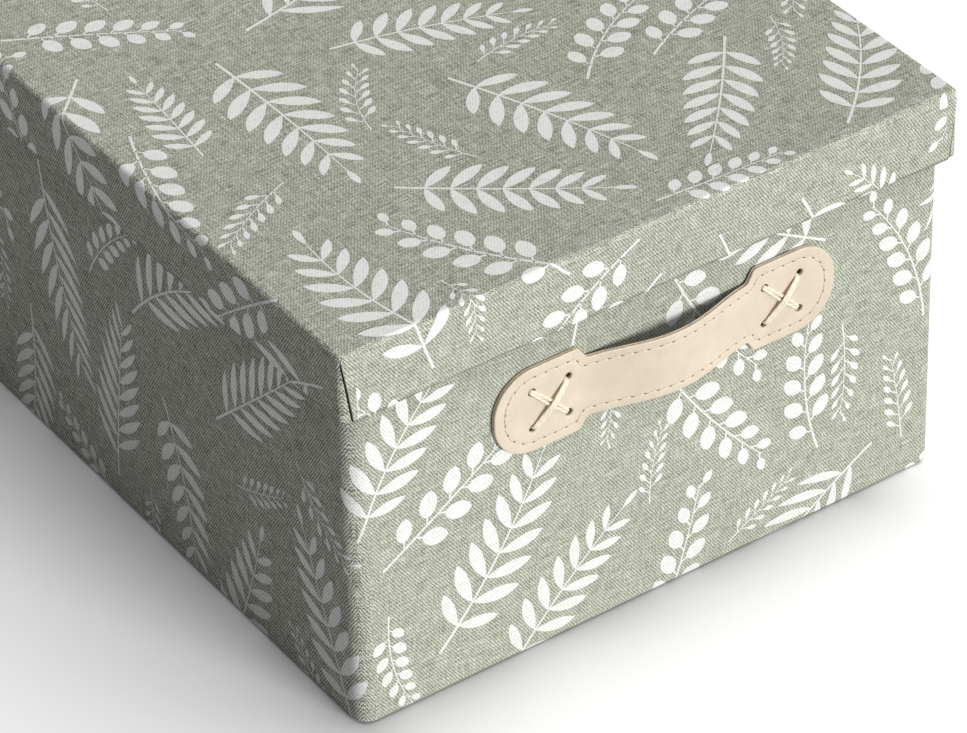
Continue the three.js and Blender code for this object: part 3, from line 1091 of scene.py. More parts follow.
@dataclass
class BodyCover(WrappedCloth):
    """The printed cloth round the body, with its ends lapped near the back left corner.

    Each wave is a count, a height, a start and a lean with the height.
    """

    wall_low: float = 0.0
    wall_high: float = 0.0
    bulge: float = 0.1
    waves: tuple[tuple[int, float, float, float], ...] = (
        (7, 0.06, 1.1, 55.0),
        (11, 0.05, 0.0, -41.0),
    )
    wave_fade: float = 25.0
    lap_from_corner: float = 12.0
    lap_width: float = 15.0
    lap_rise: float = 0.5
    lap_edge: Row = (-0.05, 0.0, 0.15, 0.4)
    lap_shares: Row = (0.0, 0.5, 0.84, 1.0)
    # Painted shade below the lid's skirt: heights where it starts, is full and ends; its share.
    painted_band: Row = (144.0, 156.0, 166.0, 172.0)
    painted_band_share: float = 0.08

    @classmethod
    def of(cls, size: BoxSizes) -> "BodyCover":
        """Works the cover out from the box's sizes."""
        path = size.body_profile()
        low = path.find(0, size.cover_foot + size.foot_radius)
        high = path.find(0, size.rim_top - size.rim_radius)
        return cls(size.body, path, size.cover_thickness, wall_low=low, wall_high=high)

    @property
    def lap(self) -> float:
        """Where the lap's edge is along the outline."""
        return float(self.plan.runs[5]) - self.lap_from_corner

    def stations(self) -> Array:
        """The outline's stations, and a few more across the lap's edge."""
        extra = self.lap + np.array([-0.4, *self.lap_edge, 1.0, 2.0])
        return np.unique(np.concatenate([super().stations(), extra]))

    def on_wall(self, travel: Array, *fades: float) -> Array:
        """1 on the walls: it rises and falls between the fades, two past each end of the wall."""
        low = smooth_step(travel, self.wall_low + fades[0], self.wall_low + fades[1])
        return low * (1 - smooth_step(travel, self.wall_high + fades[2], self.wall_high + fades[3]))

    def waviness(self, along: Array, travel: Array) -> Array:
        """A bulge and two sines round the walls, dying out at the foot and rim, never over 0.22."""
        turn = 2 * math.pi * along / self.plan.length
        wave: Any = self.bulge
        for count, high, start, lean in self.waves:
            wave = wave + high * np.sin(count * turn + start + travel / lean)
        return wave * self.on_wall(travel, 0, self.wave_fade, -self.wave_fade, 0)

    def doubling(self, along: Array, travel: Array) -> Array:
        """The lap: a steep edge, then a plateau that fades where the end beneath it stops."""
        beyond = along - self.lap
        rise = np.interp(beyond, self.lap_edge, self.lap_shares) * self.lap_rise
        rise = rise * (1 - smooth_step(beyond, self.lap_width - 6, self.lap_width))
        return rise * self.on_wall(travel, -1, 3, -3, 1)

    def shade(self, along: Array, travel: Array) -> Array:
        """Painted shade in a band just below the lid's skirt, whose overhang keeps light off it."""
        band = self.painted_band_share * np.interp(travel - self.wall_low, self.painted_band, [0, 1, 1, 0])
        return np.broadcast_to(band, np.broadcast(along, travel).shape)


@dataclass
class LidCover(CappedCloth):
    """The printed cloth over the lid.

    The end skirts are folded under and glued over the side skirts' cloth, so that each corner has
    a slit that slants away from it. ways says which way. slit_heights are those of its groove and
    its flap's edge at slit_steps across it.
    """

    edge_low: float = 0.0
    edge_high: float = 0.0
    fold_low: float = 0.0
    ways: tuple[int, ...] = (-1, 1, -1, 1)
    slit_start: float = 0.3
    slit_end: float = 4.7
    slit_home: float = 2.5
    slit_top: float = 0.5
    slit_sides: Point = (1.6, 2.2)
    moved_between: Point = (-3.6, 11.0)
    flap_settles: Point = (12.0, 30.0)
    skirt_fades: Triple = (-2.5, 1.0, -2.0)
    slit_steps: Row = (-0.75, -0.6, -0.08, 0.0, 0.05, 0.2, 0.45)
    slit_heights: Row = (0.0, -0.5, -0.5, -0.2, 0.3575, 0.585, 0.65)
    # Painted shade along the fold at the skirt's foot.
    fold_shade: float = 0.4

    @classmethod
    def of(cls, size: BoxSizes) -> "LidCover":
        """Works the cover out from the box's sizes."""
        path, edge = size.lid_profile(), size.lid_edge_radius
        cover = cls(size.lid, path, size.cover_thickness, corner_steps=10)
        cover.edge_low = path.find(0, size.box_height - edge)
        cover.edge_high = path.find(edge, size.box_height)
        cover.fold_low = path.find(size.skirt_fold_radius, size.skirt_foot)
        return cover

    def from_corner(self, along: Array) -> list[tuple[int, Array]]:
        """For each corner, the way its slit lies and the distances that way from its middle."""
        half = self.plan.length / 2
        middles = zip(self.ways, self.plan.corner_middles)
        return [(way, way * (np.mod(along - at + half, 2 * half) - half)) for way, at in middles]

    def slit(self, travel: Array) -> Array:
        """How far the slit is from the corner's middle: further towards the skirt's foot."""
        share = (self.edge_low - self.slit_top - travel) / (self.edge_low - self.fold_low)
        return self.slit_start + (self.slit_end - self.slit_start) * np.clip(share, 0, 1)

    def stations(self) -> Array:
        """The outline's stations, and close ones across each slit at its home place."""
        across = np.array([-1.6, -0.75, -0.6, -0.35, -0.08, 0, 0.05, 0.2, 0.45, 0.9, 2.2])
        ways = np.array(self.ways)[:, None]
        extra = self.plan.corner_middles[:, None] + ways * (self.slit_home + across)
        extra = np.mod(extra.ravel(), self.plan.length)
        found = np.unique(np.round(np.concatenate([super().stations(), extra]), 6))
        return np.concatenate([found[:-1], [self.plan.length]])

    def shifted(self, along: Array, travel: Array) -> Array:
        """Moves the stations near a corner so that the close ones follow the slit.

        Those across it move as far as it has left its home, and others by a share of that.

        Args:
            along: the stations.
            travel: the rows that they lie on.

        Returns:
            The stations on each row.
        """
        slit = self.slit(travel)
        hold = 1 - smooth_step(travel, self.edge_low, self.edge_high)
        moved = along.astype(float).copy()
        (start, end), (before, after) = self.moved_between, self.slit_sides
        low_home, high_home = self.slit_home - before, self.slit_home + after
        low, high = slit - before, slit + after
        for way, beyond in self.from_corner(along):
            first = start + (beyond - start) * (low - start) / (low_home - start)
            last = high + (beyond - high_home) * (end - high) / (end - high_home)
            warped = np.where(beyond < low_home, first, slit + beyond - self.slit_home)
            warped = np.where(beyond > high_home, last, warped)
            inside = (beyond > start) & (beyond < end)
            moved = moved + np.where(inside, way * hold * (warped - beyond), 0.0)
        return moved

    def slit_window(self, travel: Array) -> Array:
        """1 on the skirt, 0 on the top and inside."""
        start, end, foot = self.skirt_fades
        top = 1 - smooth_step(travel, self.edge_low + start, self.edge_low + end)
        return top * smooth_step(travel, self.fold_low + foot, self.fold_low)

    def doubling(self, along: Array, travel: Array) -> Array:
        """The slit's groove, the flap's rounded edge, and the flap that settles 12 to 30 in."""
        rise, slit = np.zeros(np.broadcast(along, travel).shape), self.slit(travel)
        for _, beyond in self.from_corner(along):
            past = beyond - slit
            settled = 1 - smooth_step(past, *self.flap_settles)
            rise = rise + np.interp(past, self.slit_steps, self.slit_heights) * settled
        return rise * self.slit_window(travel)

    def shade(self, along: Array, travel: Array) -> Array:
        """Painted shade: dark in the slit, and a little along the fold at the skirt's foot."""
        dark, slit = np.zeros(np.broadcast(along, travel).shape), self.slit(travel)
        for _, beyond in self.from_corner(along):
            across = [-0.8, -0.6, -0.06, 0.02, 0.1]
            dark = dark + np.interp(beyond - slit, across, [0, 0.95, 0.95, 0.8, 0])
        fold = np.interp(travel - self.fold_low, [-2.0, 0.0, 1.4, 2.3], [0.0, 1.0, 1.0, 0.0])
        return np.maximum(dark * self.slit_window(travel), self.fold_shade * fold)

    def weave_at(self, along: Array, travel: Array, middle: Array) -> Array:
        """The weave runs with X and Y on the top and turns with the walls on the skirt."""
        skirt = super().weave_at(along, travel, middle)
        on_top = middle > (self.edge_low + self.edge_high) / 2
        top = self.plan.place(along, self.profile.inset_at(travel))[0]
        return np.where(on_top[:, None, None], top, skirt)


@dataclass(frozen=True)
class Linings:
    """The plain cotton inside the body and the lid, and under the bottom."""

    size: BoxSizes
    hem: float = 9.0
    hem_rise: float = 0.35
    hem_slant: float = 0.5
    floor_corner: float = 1.2

    def body(self) -> CappedCloth:
        """The body's lining: down the walls and over the floor, with a hem along its top.

        Returns:
            The cloth.
        """
        size, turn = self.size, self.floor_corner
        inset, low, high = size.lining_inset, size.floor_top, size.lining_top
        raised, hem = inset + self.hem_rise, high - self.hem
        path = Profile().line((raised, high), (raised, hem), 3.0)
        path.line((raised, hem), (inset, hem - self.hem_slant), 1.0)
        path.line((inset, hem - self.hem_slant), (inset, low + turn), 6.0)
        path.arc((inset + turn, low + turn), turn, 0, -90, 5, facing=-1)
        path.line((inset + turn, low), (size.body_half_width - size.middle_strip, low), 8.0)
        return CappedCloth(size.body, path, size.lining_thickness)

    def flat_panel(self, plan: Plan, inset: float, height: float, thickness: float) -> CappedCloth:
        """A flat panel that faces down, its edge drawn in from a plan by an inset."""
        middle = plan.half_width - self.size.middle_strip
        return CappedCloth(plan, Profile().line((middle, height), (inset, height), 8.0), thickness)

    def lid(self) -> CappedCloth:
        """The panel under the lid's top, its edge 3.8 in."""
        size = self.size
        inset = size.skirt_turned_face + size.lid_lining_gap
        low = size.skirt_board_top - size.lining_thickness
        return self.flat_panel(size.lid, inset, low, size.lining_thickness)

    def base(self) -> CappedCloth:
        """The cloth glued under the bottom."""
        size = self.size
        return self.flat_panel(size.body, size.base_cloth_margin, 0.0, size.base_cloth_thickness)


# The print


class SprigKind(Enum):
    """The kinds of leaf sprig in the print."""

    WILLOW = "slender leaves set alternately"
    ASH = "oval leaves in pairs, with one at the end"
    EUCALYPTUS = "round leaves on short stalks"
    BUD_TWIG = "small buds on a thin twig"


@dataclass(frozen=True)
class Sprig:
    """One kind of sprig's sizes.

    A leaf's half width at its share t along is half its width times sin(pi t^peak)^fullness.
    """

    length: float
    leaves: int
    leaf_length: float
    leaf_width: float
    first_angle: float
    last_angle: float
    peak: float
    fullness: float
    stalk: float
    paired: bool
    stem_width: float = 1.25
    stem_tip: float = 0.35
    stem_steps: int = 32
    stalk_half: float = 0.38
    stalk_overlap: float = 1.5
    leaf_points: int = 10
    leaves_from: float = 0.14
    leaves_over: float = 0.84
    size_shares: Row = (0.0, 0.25, 0.6, 1.0)
    sizes: Row = (0.72, 1.0, 0.92, 0.5)
    curl: float = 0.13
    thinnest: float = 0.02
    leaf_lift: float = 0.03
    leaf_stagger: float = 0.004
    stem_lift: float = 0.045

    def stem(self, bend: float) -> tuple[Array, Array]:
        """Works out the stem, an arc.

        Args:
            bend: how far it turns, in radians.

        Returns:
            Its places about their middle, and its headings.
        """
        share = np.linspace(0, 1, self.stem_steps + 1)
        heading = math.pi / 2 + bend * (share - 0.5)
        steps = directions(heading) * self.length / self.stem_steps
        places = np.concatenate([[[0.0, 0.0]], np.cumsum(steps[:-1], axis=0)])
        return places - places.mean(axis=0), heading

    def edges(self, line: Array, half: Array) -> tuple[Array, Array]:
        """The left and right edges of strips, half a width off square to their middle lines."""
        beside = square_to(unit(np.gradient(line, axis=1))) * half
        return line + beside, line - beside

    def outline(self, bend: float) -> tuple[Array, Array, Array]:
        """Works out the strips of its leaves, stem and stalks.

        A leaf leaves the stem at its angle and curls. Leaves are full grown by a quarter of the way
        up and half that at the tip.

        Args:
            bend: how far the stem turns, in radians.

        Returns:
            Left and right edges, (strips, points, 2), and lifts.
        """
        places, heading = self.stem(bend)
        points, knots = self.leaf_points, np.arange(self.stem_steps + 1)
        number = np.arange(self.leaves)
        rank = number // 2 * 2 if self.paired else number
        share = self.leaves_from + self.leaves_over * rank / max(self.leaves - 1, 1)
        side = np.where(number % 2 == 0, 1.0, -1.0)
        if self.paired:
            share[-1], side[-1] = 1.0, 0.0
        at = share * self.stem_steps
        root = np.stack([np.interp(at, knots, column) for column in places.T], axis=1)[:, None, :]
        angle = np.radians(self.first_angle + (self.last_angle - self.first_angle) * share)
        turn = np.interp(at, knots, heading) + side * angle
        size = np.interp(share, self.size_shares, self.sizes)
        ahead = directions(turn)[:, None, :]
        length = (self.leaf_length * size)[:, None, None]
        curl = (-side * self.curl)[:, None, None] * length
        t = np.linspace(0, 1, points)
        run = t[None, :, None]
        leaf = root + ahead * (self.stalk + length * run) + square_to(ahead) * curl * run**2
        shape = np.sin(math.pi * t**self.peak) ** self.fullness
        half = np.maximum(self.leaf_width / 2 * size[:, None] * shape, self.thinnest)
        strips = [(leaf, half, self.leaf_lift + self.leaf_stagger * (number % 3))]
        spine = places[np.linspace(0, self.stem_steps, points).astype(int)][None]
        half = np.linspace(1, self.stem_tip, points) * self.stem_width / 2
        strips.append((spine, half, np.full(1, self.stem_lift)))
        if self.stalk:
            foot = root + ahead * (self.stalk + self.stalk_overlap) * run
            stems = np.full(self.leaves, self.stem_lift)
            strips.append((foot, np.full(points, self.stalk_half), stems))
        left, right = zip(*(self.edges(line, half[..., None]) for line, half, _ in strips))
        return np.concatenate(left), np.concatenate(right), np.concatenate([s[2] for s in strips])


SPRIGS = {
    SprigKind.WILLOW: Sprig(92, 17, 26.0, 4.6, 56, 34, 0.9, 0.8, 0.0, False),
    SprigKind.ASH: Sprig(84, 15, 20.0, 5.8, 70, 44, 1.15, 0.72, 0.0, True),
    SprigKind.EUCALYPTUS: Sprig(78, 12, 12.0, 7.8, 62, 36, 1.0, 0.58, 3.0, False),
    SprigKind.BUD_TWIG: Sprig(56, 13, 9.0, 3.7, 56, 36, 1.35, 0.75, 3.5, False, 0.9),
}


def split_triangles(points: Array, faces: Array, axis: int, at: float) -> tuple[Array, Array]:
    """Splits every triangle that the line where one coordinate has a value runs through.

    The corner alone on its side keeps a triangle, and the two others share two. New points are
    where the line meets the edges, by shares of distance.

    Args:
        points: (n, 3) places.
        faces: (m, 3) point numbers.
        axis: the coordinate.
        at: its value.

    Returns:
        The points and faces with the new ones.
    """
    gap = points[:, axis] - at
    gap[np.abs(gap) < ON_THE_LINE] = 0.0
    sign = np.sign(gap)[faces]
    crossed = (sign.min(axis=1) < 0) & (sign.max(axis=1) > 0)
    if not crossed.any():
        return points, faces
    cut, sign = faces[crossed], sign[crossed]
    total = sign.sum(axis=1)
    halves = total == 0
    odd = np.where(halves[:, None], sign == 0, sign == -np.sign(total)[:, None]).argmax(axis=1)
    lone, first, second = np.take_along_axis(cut, (odd[:, None] + np.arange(3)) % 3, axis=1).T

    def meet(a: Array, b: Array) -> Array:
        """Where the line meets the edges from a to b."""
        low, high = np.minimum(a, b), np.maximum(a, b)
        share = (gap[low] / (gap[low] - gap[high]))[:, None]
        return points[low] + (points[high] - points[low]) * share

    three, two = ~halves, halves
    near, far = meet(lone[three], first[three]), meet(lone[three], second[three])
    between = meet(first[two], second[two])
    p = len(points) + np.arange(len(near))
    q = p + len(near)
    r = len(points) + 2 * len(near) + np.arange(len(between))
    rows = [
        (lone[three], p, q),
        (p, first[three], second[three]),
        (p, second[three], q),
        (lone[two], first[two], r),
        (lone[two], r, second[two]),
    ]
    pieces = [faces[~crossed]] + [np.stack(row, axis=1) for row in rows]
    return np.concatenate([points, near, far, between]), np.concatenate(pieces)


@dataclass
class LeafPrint:
    """White leaf sprigs scattered over a cloth laid flat, and then wrapped with it.

    The field runs from low to high, and where round is set it meets itself after that length. The
    first tries draw kinds by the early chances, and at the big scales. Five discs along its stem
    stand for a sprig.
    """

    cloth: WrappedCloth
    low: Point
    high: Point
    seed: int
    round: float = 0.0
    gap: float = 3.0
    tries: int = 9000
    film: float = 0.045
    early_kinds: float = 0.45
    early_chances: Row = (0.45, 0.37, 0.18, 0.0)
    late_chances: Row = (0.25, 0.25, 0.18, 0.32)
    early_scales: float = 0.3
    big: Point = (1.0, 1.22)
    small: Point = (0.66, 1.0)
    bend: float = 0.65
    disc_shares: Row = (0.06, 0.3, 0.52, 0.74, 0.96)
    disc_sizes: Row = (0.5, 0.95, 0.95, 0.8, 0.6)
    stagger: float = 0.0013
    stagger_steps: int = 7
    speck: float = 1e-6

    def cuts(self) -> list[tuple[int, float]]:
        """The flat lines along which the cloth bends, as an axis and a value each."""
        raise NotImplementedError

    def kept(self, middles: Array) -> Array:
        """Which faces, by their flat middles, are on the cloth."""
        raise NotImplementedError

    def keeps_sprig(self, discs: Array) -> bool:
        """Whether a sprig that fills these discs may stand there."""
        return True

    def wrapped(self, flat: Array, middles: Array, faces: Array) -> tuple[Array, Array]:
        """Flat points' places on the cloth, and the weave coordinates of their faces' corners."""
        raise NotImplementedError

    def round_gap(self, apart: Array) -> Array:
        """Distances round the box, the short way."""
        return np.mod(apart + self.round / 2, self.round) - self.round / 2

    def lay_out(self) -> list[tuple[SprigKind, Array, float, float, float]]:
        """Scatters the sprigs, each where its discs touch no other's.

        Returns:
            Each sprig's kind, middle, turn, bend and scale.
        """
        chance = np.random.default_rng(self.seed)
        discs, laid = np.zeros((0, 3)), []
        low, high = np.array(self.low), np.array(self.high)
        for attempt in range(self.tries):
            progress = attempt / self.tries
            early = progress < self.early_kinds
            chances = np.array(self.early_chances if early else self.late_chances)
            kind = list(SprigKind)[chance.choice(4, p=chances)]
            sprig = SPRIGS[kind]
            scale = chance.uniform(*(self.big if progress < self.early_scales else self.small))
            middle = chance.uniform(low, high)
            turn, bend = chance.uniform(-math.pi, math.pi), chance.uniform(-self.bend, self.bend)
            along = (np.array(self.disc_shares) * sprig.stem_steps).astype(int)
            spots = sprig.stem(bend)[0][along] * scale @ turned_by(turn).T + middle
            angle = math.radians((sprig.first_angle + sprig.last_angle) / 2)
            span = (sprig.leaf_length + sprig.stalk) * math.sin(angle) * scale
            mine = np.column_stack([spots, span * np.array(self.disc_sizes)])
            if not self.keeps_sprig(mine):
                continue
            apart = mine[:, None, :2] - discs[None, :, :2]
            if self.round:
                apart[..., 0] = self.round_gap(apart[..., 0])
            room = np.linalg.norm(apart, axis=2) - mine[:, None, 2] - discs[None, :, 2]
            if room.size and room.min() < self.gap:
                continue
            discs = np.concatenate([discs, mine])
            laid.append((kind, middle, turn, bend, scale))
        return laid

    def flat_mesh(self, wanted: SprigKind, laid: list) -> tuple[Array, Array]:
        """Lays one kind's strips flat as triangles.

        Args:
            wanted: the kind.
            laid: what lay_out returned.

        Returns:
            The points with their lifts, and the faces.
        """
        points, faces, start = [], [], 0
        for number, (kind, middle, turn, bend, scale) in enumerate(laid):
            if kind is not wanted:
                continue
            left, right, lifts = SPRIGS[kind].outline(bend)
            strips, count = left.shape[:2]
            both = np.stack([right, left], axis=2).reshape(-1, 2) * scale
            both = both @ turned_by(turn).T + middle
            quads = grid_faces(count, 2)[None] + (np.arange(strips) * count * 2)[:, None, None]
            lifts = np.repeat(lifts + self.stagger * (number % self.stagger_steps), count * 2)
            points.append(np.column_stack([both, lifts]))
            faces.append(quads.reshape(-1, 4)[:, [[0, 1, 2], [0, 2, 3]]].reshape(-1, 3) + start)
            start += len(both)
        return np.concatenate(points), np.concatenate(faces)

    def surface(self, wanted: SprigKind, laid: list) -> Surface:
        """Wraps one kind's print round the cloth, split where the cloth bends.

        Args:
            wanted: the kind.
            laid: what lay_out returned.

        Returns:
            The print, all its faces outwards.
        """
        flat, faces = self.flat_mesh(wanted, laid)
        for axis, at in self.cuts():
            flat, faces = split_triangles(flat, faces, axis, at)
        corners = flat[faces][..., :2]
        middles, area = corners.mean(axis=1), flat_areas(corners)
        keep = self.kept(middles) & (np.abs(area) > self.speck)
        faces, middles, area = faces[keep], middles[keep], area[keep]
        faces = np.where(area[:, None] < 0, faces[:, ::-1], faces)
        used, faces = np.unique(faces, return_inverse=True)
        log.info("print of %.3f square metres", np.abs(area).sum() / METRE**2)
        faces = faces.reshape(-1, 3)
        places, weave = self.wrapped(flat[used], middles, faces)
        return Surface(places, faces, weave)

    def build(self, name: str, ink: Material) -> list[Piece]:
        """Makes each kind's print a piece of its own, a thin film.

        Args:
            name: how the pieces' names begin.
            ink: their material.

        Returns:
            The pieces.
        """
        laid, pieces = self.lay_out(), []
        for kind in SprigKind:
            piece = make_piece(f"{name}_{kind.name.lower()}", self.surface(kind, laid), [ink])
            piece.data.shade_flat()
            wall = piece.modifiers.new("film", "SOLIDIFY")
            wall.thickness, wall.offset = self.film / METRE, 1.0
            pieces.append(piece)
        return pieces


@dataclass
class BodyPrint(LeafPrint):
    """The print round the body. Its flat coordinates are the cloth's own: along and travel."""

    def cuts(self) -> list[tuple[int, float]]:
        """Lines at the corners' stations, and at the foot's and the rim's.

        Returns:
            The lines.
        """
        runs, steps = self.cloth.plan.runs, self.cloth.corner_steps
        found = [(1, float(at)) for at in (*self.cloth.profile.travel, self.low[1], self.high[1])]
        for back in (-self.round, 0.0, self.round):
            for corner in range(1, 9, 2):
                stations = np.linspace(runs[corner], runs[corner + 1], steps + 1)
                found += [(0, float(at + back)) for at in stations]
        return found

    def kept(self, middles: Array) -> Array:
        """Keeps what is between the field's two edges."""
        return (middles[:, 1] > self.low[1]) & (middles[:, 1] < self.high[1])

    def keeps_sprig(self, discs: Array) -> bool:
        """Keeps sprigs clear of the lap's edge."""
        beyond = self.round_gap(discs[:, 0] - self.cloth.lap)
        return bool((np.abs(beyond) > discs[:, 2] + 1).all())

    def wrapped(self, flat: Array, middles: Array, faces: Array) -> tuple[Array, Array]:
        """Places the print by along and travel."""
        along, travel = np.mod(flat[:, 0], self.round), flat[:, 1]
        lift = self.cloth.face_lift(along, travel) + flat[:, 2]
        turns = np.floor(middles[:, 0] / self.round) * self.round
        around, down = flat[faces][..., 0] - turns[:, None], flat[faces][..., 1]
        weave = self.cloth.weave_at(around, down, down.mean(axis=1))
        return self.cloth.place(along, travel, lift), weave


@dataclass
class LidPrint(LeafPrint):
    """The print over the lid, flat in X and Y on the top and on past its edges."""

    corner_margin: float = 4.5
    end_margin: float = 1.0
    hem: float = 1.0

    @property
    def reach(self) -> Array:
        """How far the flat part of the top reaches in X and in Y."""
        plan = self.cloth.plan
        return np.array([plan.half_width, plan.half_depth]) - self.cloth.profile.inset_at(
            self.cloth.edge_high
        )

    def cuts(self) -> list[tuple[int, float]]:
        """Lines at every row of the edge, the skirt and the fold, on all four sides.

        Returns:
            The lines.
        """
        travels, edge = self.cloth.profile.travel, self.cloth.edge_high
        beyond = [*(edge - travels[travels <= edge]), -self.corner_margin]
        found = []
        for axis in (0, 1):
            for sign in (-1, 1):
                found += [(axis, float(sign * (self.reach[axis] + row))) for row in beyond]
        return found

    def kept(self, middles: Array) -> Array:
        """Leaves out the corners, where the flaps are folded, and what is past the hem."""
        past = np.abs(middles) - self.reach
        beside = (past[:, 0] > -self.corner_margin) & (past[:, 1] > 0)
        corner = beside | (past[:, 1] > -self.end_margin) & (past[:, 0] > 0)
        return ~corner & (past.max(axis=1) < self.cloth.edge_high - self.hem)

    def along_of(self, x: Array, y: Array, end: Array) -> Array:
        """How far along the outline a place past an edge is.

        Args:
            x: the flat places' X.
            y: their Y.
            end: whether each is past the front or back edge.

        Returns:
            The distances.
        """
        plan = self.cloth.plan
        wide, deep = plan.half_width - plan.corner_radius, plan.half_depth - plan.corner_radius
        front, back = np.clip(x, -wide, wide) + wide, np.clip(wide - x, 0, 2 * wide)
        right, left = np.clip(y + deep, 0, 2 * deep), np.clip(deep - y, 0, 2 * deep)
        on_end = np.where(y < 0, front, plan.runs[4] + back)
        return np.where(end, on_end, np.where(x > 0, plan.runs[2] + right, plan.runs[6] + left))

    def wrapped(self, flat: Array, middles: Array, faces: Array) -> tuple[Array, Array]:
        """Places the print on the top, or by side and distance past the edge."""
        cloth, edge = self.cloth, self.cloth.edge_high
        x, y, lift = flat.T
        past = np.abs(flat[:, :2]) - self.reach
        on_end = past[:, 1] > np.maximum(past[:, 0], 0)
        along = self.along_of(x, y, on_end)
        travel = edge - np.maximum(np.where(on_end, past[:, 1], past[:, 0]), 0)
        places = cloth.place(along, travel, cloth.face_lift(along, travel) + lift)
        top = ~on_end & (past[:, 0] <= 0)
        level = np.column_stack([x, y, cloth.profile.rows[-1, 1] + lift])
        places = np.where(top[:, None], level, places)
        corners = flat[faces][..., :2]
        past = np.abs(middles) - self.reach
        end = np.repeat((past[:, 1] > past[:, 0])[:, None], 3, axis=1)
        beyond = np.abs(corners) - self.reach
        down = edge - np.where(end, beyond[..., 1], beyond[..., 0])
        around = self.along_of(corners[..., 0], corners[..., 1], end)
        skirt = WrappedCloth.weave_at(cloth, around, down, down.mean(axis=1))
        on_skirt = past.max(axis=1) > (edge - cloth.edge_low) / 2
        return places, np.where(on_skirt[:, None, None], skirt, corners)


# Handles


@dataclass(frozen=True)
class HandleShape:
    """The leather handle's sizes, in its own frame: X along the wall, up, and out of the wall."""

    half_length: float = 89.5
    tab_half: float = 21.5
    tab_radius: float = 20.0
    strap_half: float = 15.25
    shoulder_inner: float = 42.0
    shoulder_run: float = 4.0
    shoulder_rounding: float = 1.6
    bulge: float = 9.5
    bulge_reach: float = 49.5
    backing: Point = (0.3, 1.4)
    outer: Point = (1.7, 2.9)
    seam_inset: float = 3.8
    tab_spread: float = 1.22
    tip_spread: float = 1.38
    groove_width: float = 0.42
    groove_depth: float = 0.26
    hole_radius: float = 1.9
    pair_half: float = 61.0
    hole_across: float = 9.4
    hole_up: float = 9.5

    def quarter(self, inset: float) -> Array:
        """Works out the outline's upper right quarter: strap, slanting shoulder, tab and round end.

        The shoulder's bends are quadratic curves.

        Args:
            inset: how far in. The tab is drawn in a little more, its tip more still.

        Returns:
            Its places, (n, 2).
        """
        step_up = self.tab_half - self.strap_half
        slope = self.shoulder_run / step_up
        inner = self.shoulder_inner + inset * (math.hypot(1, slope) - slope)
        neck = np.array([inner, self.strap_half - inset])
        brow = neck + [self.shoulder_run, step_up]
        brow[1] -= (self.tab_spread - 1) * inset
        slant = unit(brow - neck) * self.shoulder_rounding
        level = np.array([self.shoulder_rounding, 0.0])
        t = np.linspace(0, 1, 6)[:, None]

        def bend(start: Array, peak: Array, end: Array) -> Array:
            """A quadratic curve: (1 - t)^2 start + 2 t (1 - t) peak + t^2 end."""
            return (1 - t) ** 2 * start + 2 * t * (1 - t) * peak + t**2 * end

        tab_inset, tip_inset = self.tab_spread * inset, self.tip_spread * inset
        centre = np.array([self.half_length - self.tab_radius, self.tab_half - self.tab_radius])
        centre[0] -= tip_inset - tab_inset
        angle = np.linspace(math.pi / 2, 0, 19)
        round_end = centre + (self.tab_radius - tab_inset) * directions(angle)
        strap = np.linspace([0.0, neck[1]], neck - level, 19)[:-1]
        shoulder = [bend(neck - level, neck, neck + slant), bend(brow - slant, brow, brow + level)]
        flat = np.linspace(brow + level, round_end[0], 9)[1:-1]
        tip = [[self.half_length - tip_inset, 0.0]]
        return np.concatenate([strap, *shoulder, flat, round_end, tip])

    def outline(self, inset: float) -> Array:
        """The whole outline, anticlockwise from the right tip, its first point repeated."""
        quarter = self.quarter(inset)
        half = np.concatenate([quarter[::-1], quarter[1:] * [-1, 1]])
        return np.concatenate([half, -half[1:]])

    def on_handle(self, x: Array, up: Array, out: Array) -> Array:
        """Takes places off the flat handle, whose strap bulges by a raised cosine.

        Args:
            x: how far along the wall.
            up: how far up.
            out: how far out, square to the strap.

        Returns:
            X, Y into the wall, and up, on the last axis.
        """
        x, up, out = np.broadcast_arrays(x, up, out)
        turn = math.pi * np.clip(np.abs(x) / self.bulge_reach, 0, 1)
        height = self.bulge * (1 + np.cos(turn)) / 2
        slope = -self.bulge * math.pi * np.sin(turn) / (2 * self.bulge_reach) * np.sign(x)
        length = np.hypot(1, slope)
        return np.stack([x - out * slope / length, -(height + out / length), up], axis=-1)

    def groove(self, off: Array) -> Array:
        """How deep the seam presses the leather at a distance off its line: a bell curve."""
        return self.groove_depth * np.exp(-((off / self.groove_width) ** 2))

    def holes(self) -> Array:
        """The eight holes' places, (8, 2)."""
        signs = np.array([-1, 1])
        x = signs[:, None, None] * self.pair_half + signs[None, :, None] * self.hole_across
        up = signs[None, None, :] * self.hole_up
        return np.stack(np.broadcast_arrays(x, up), axis=-1).reshape(-1, 2)


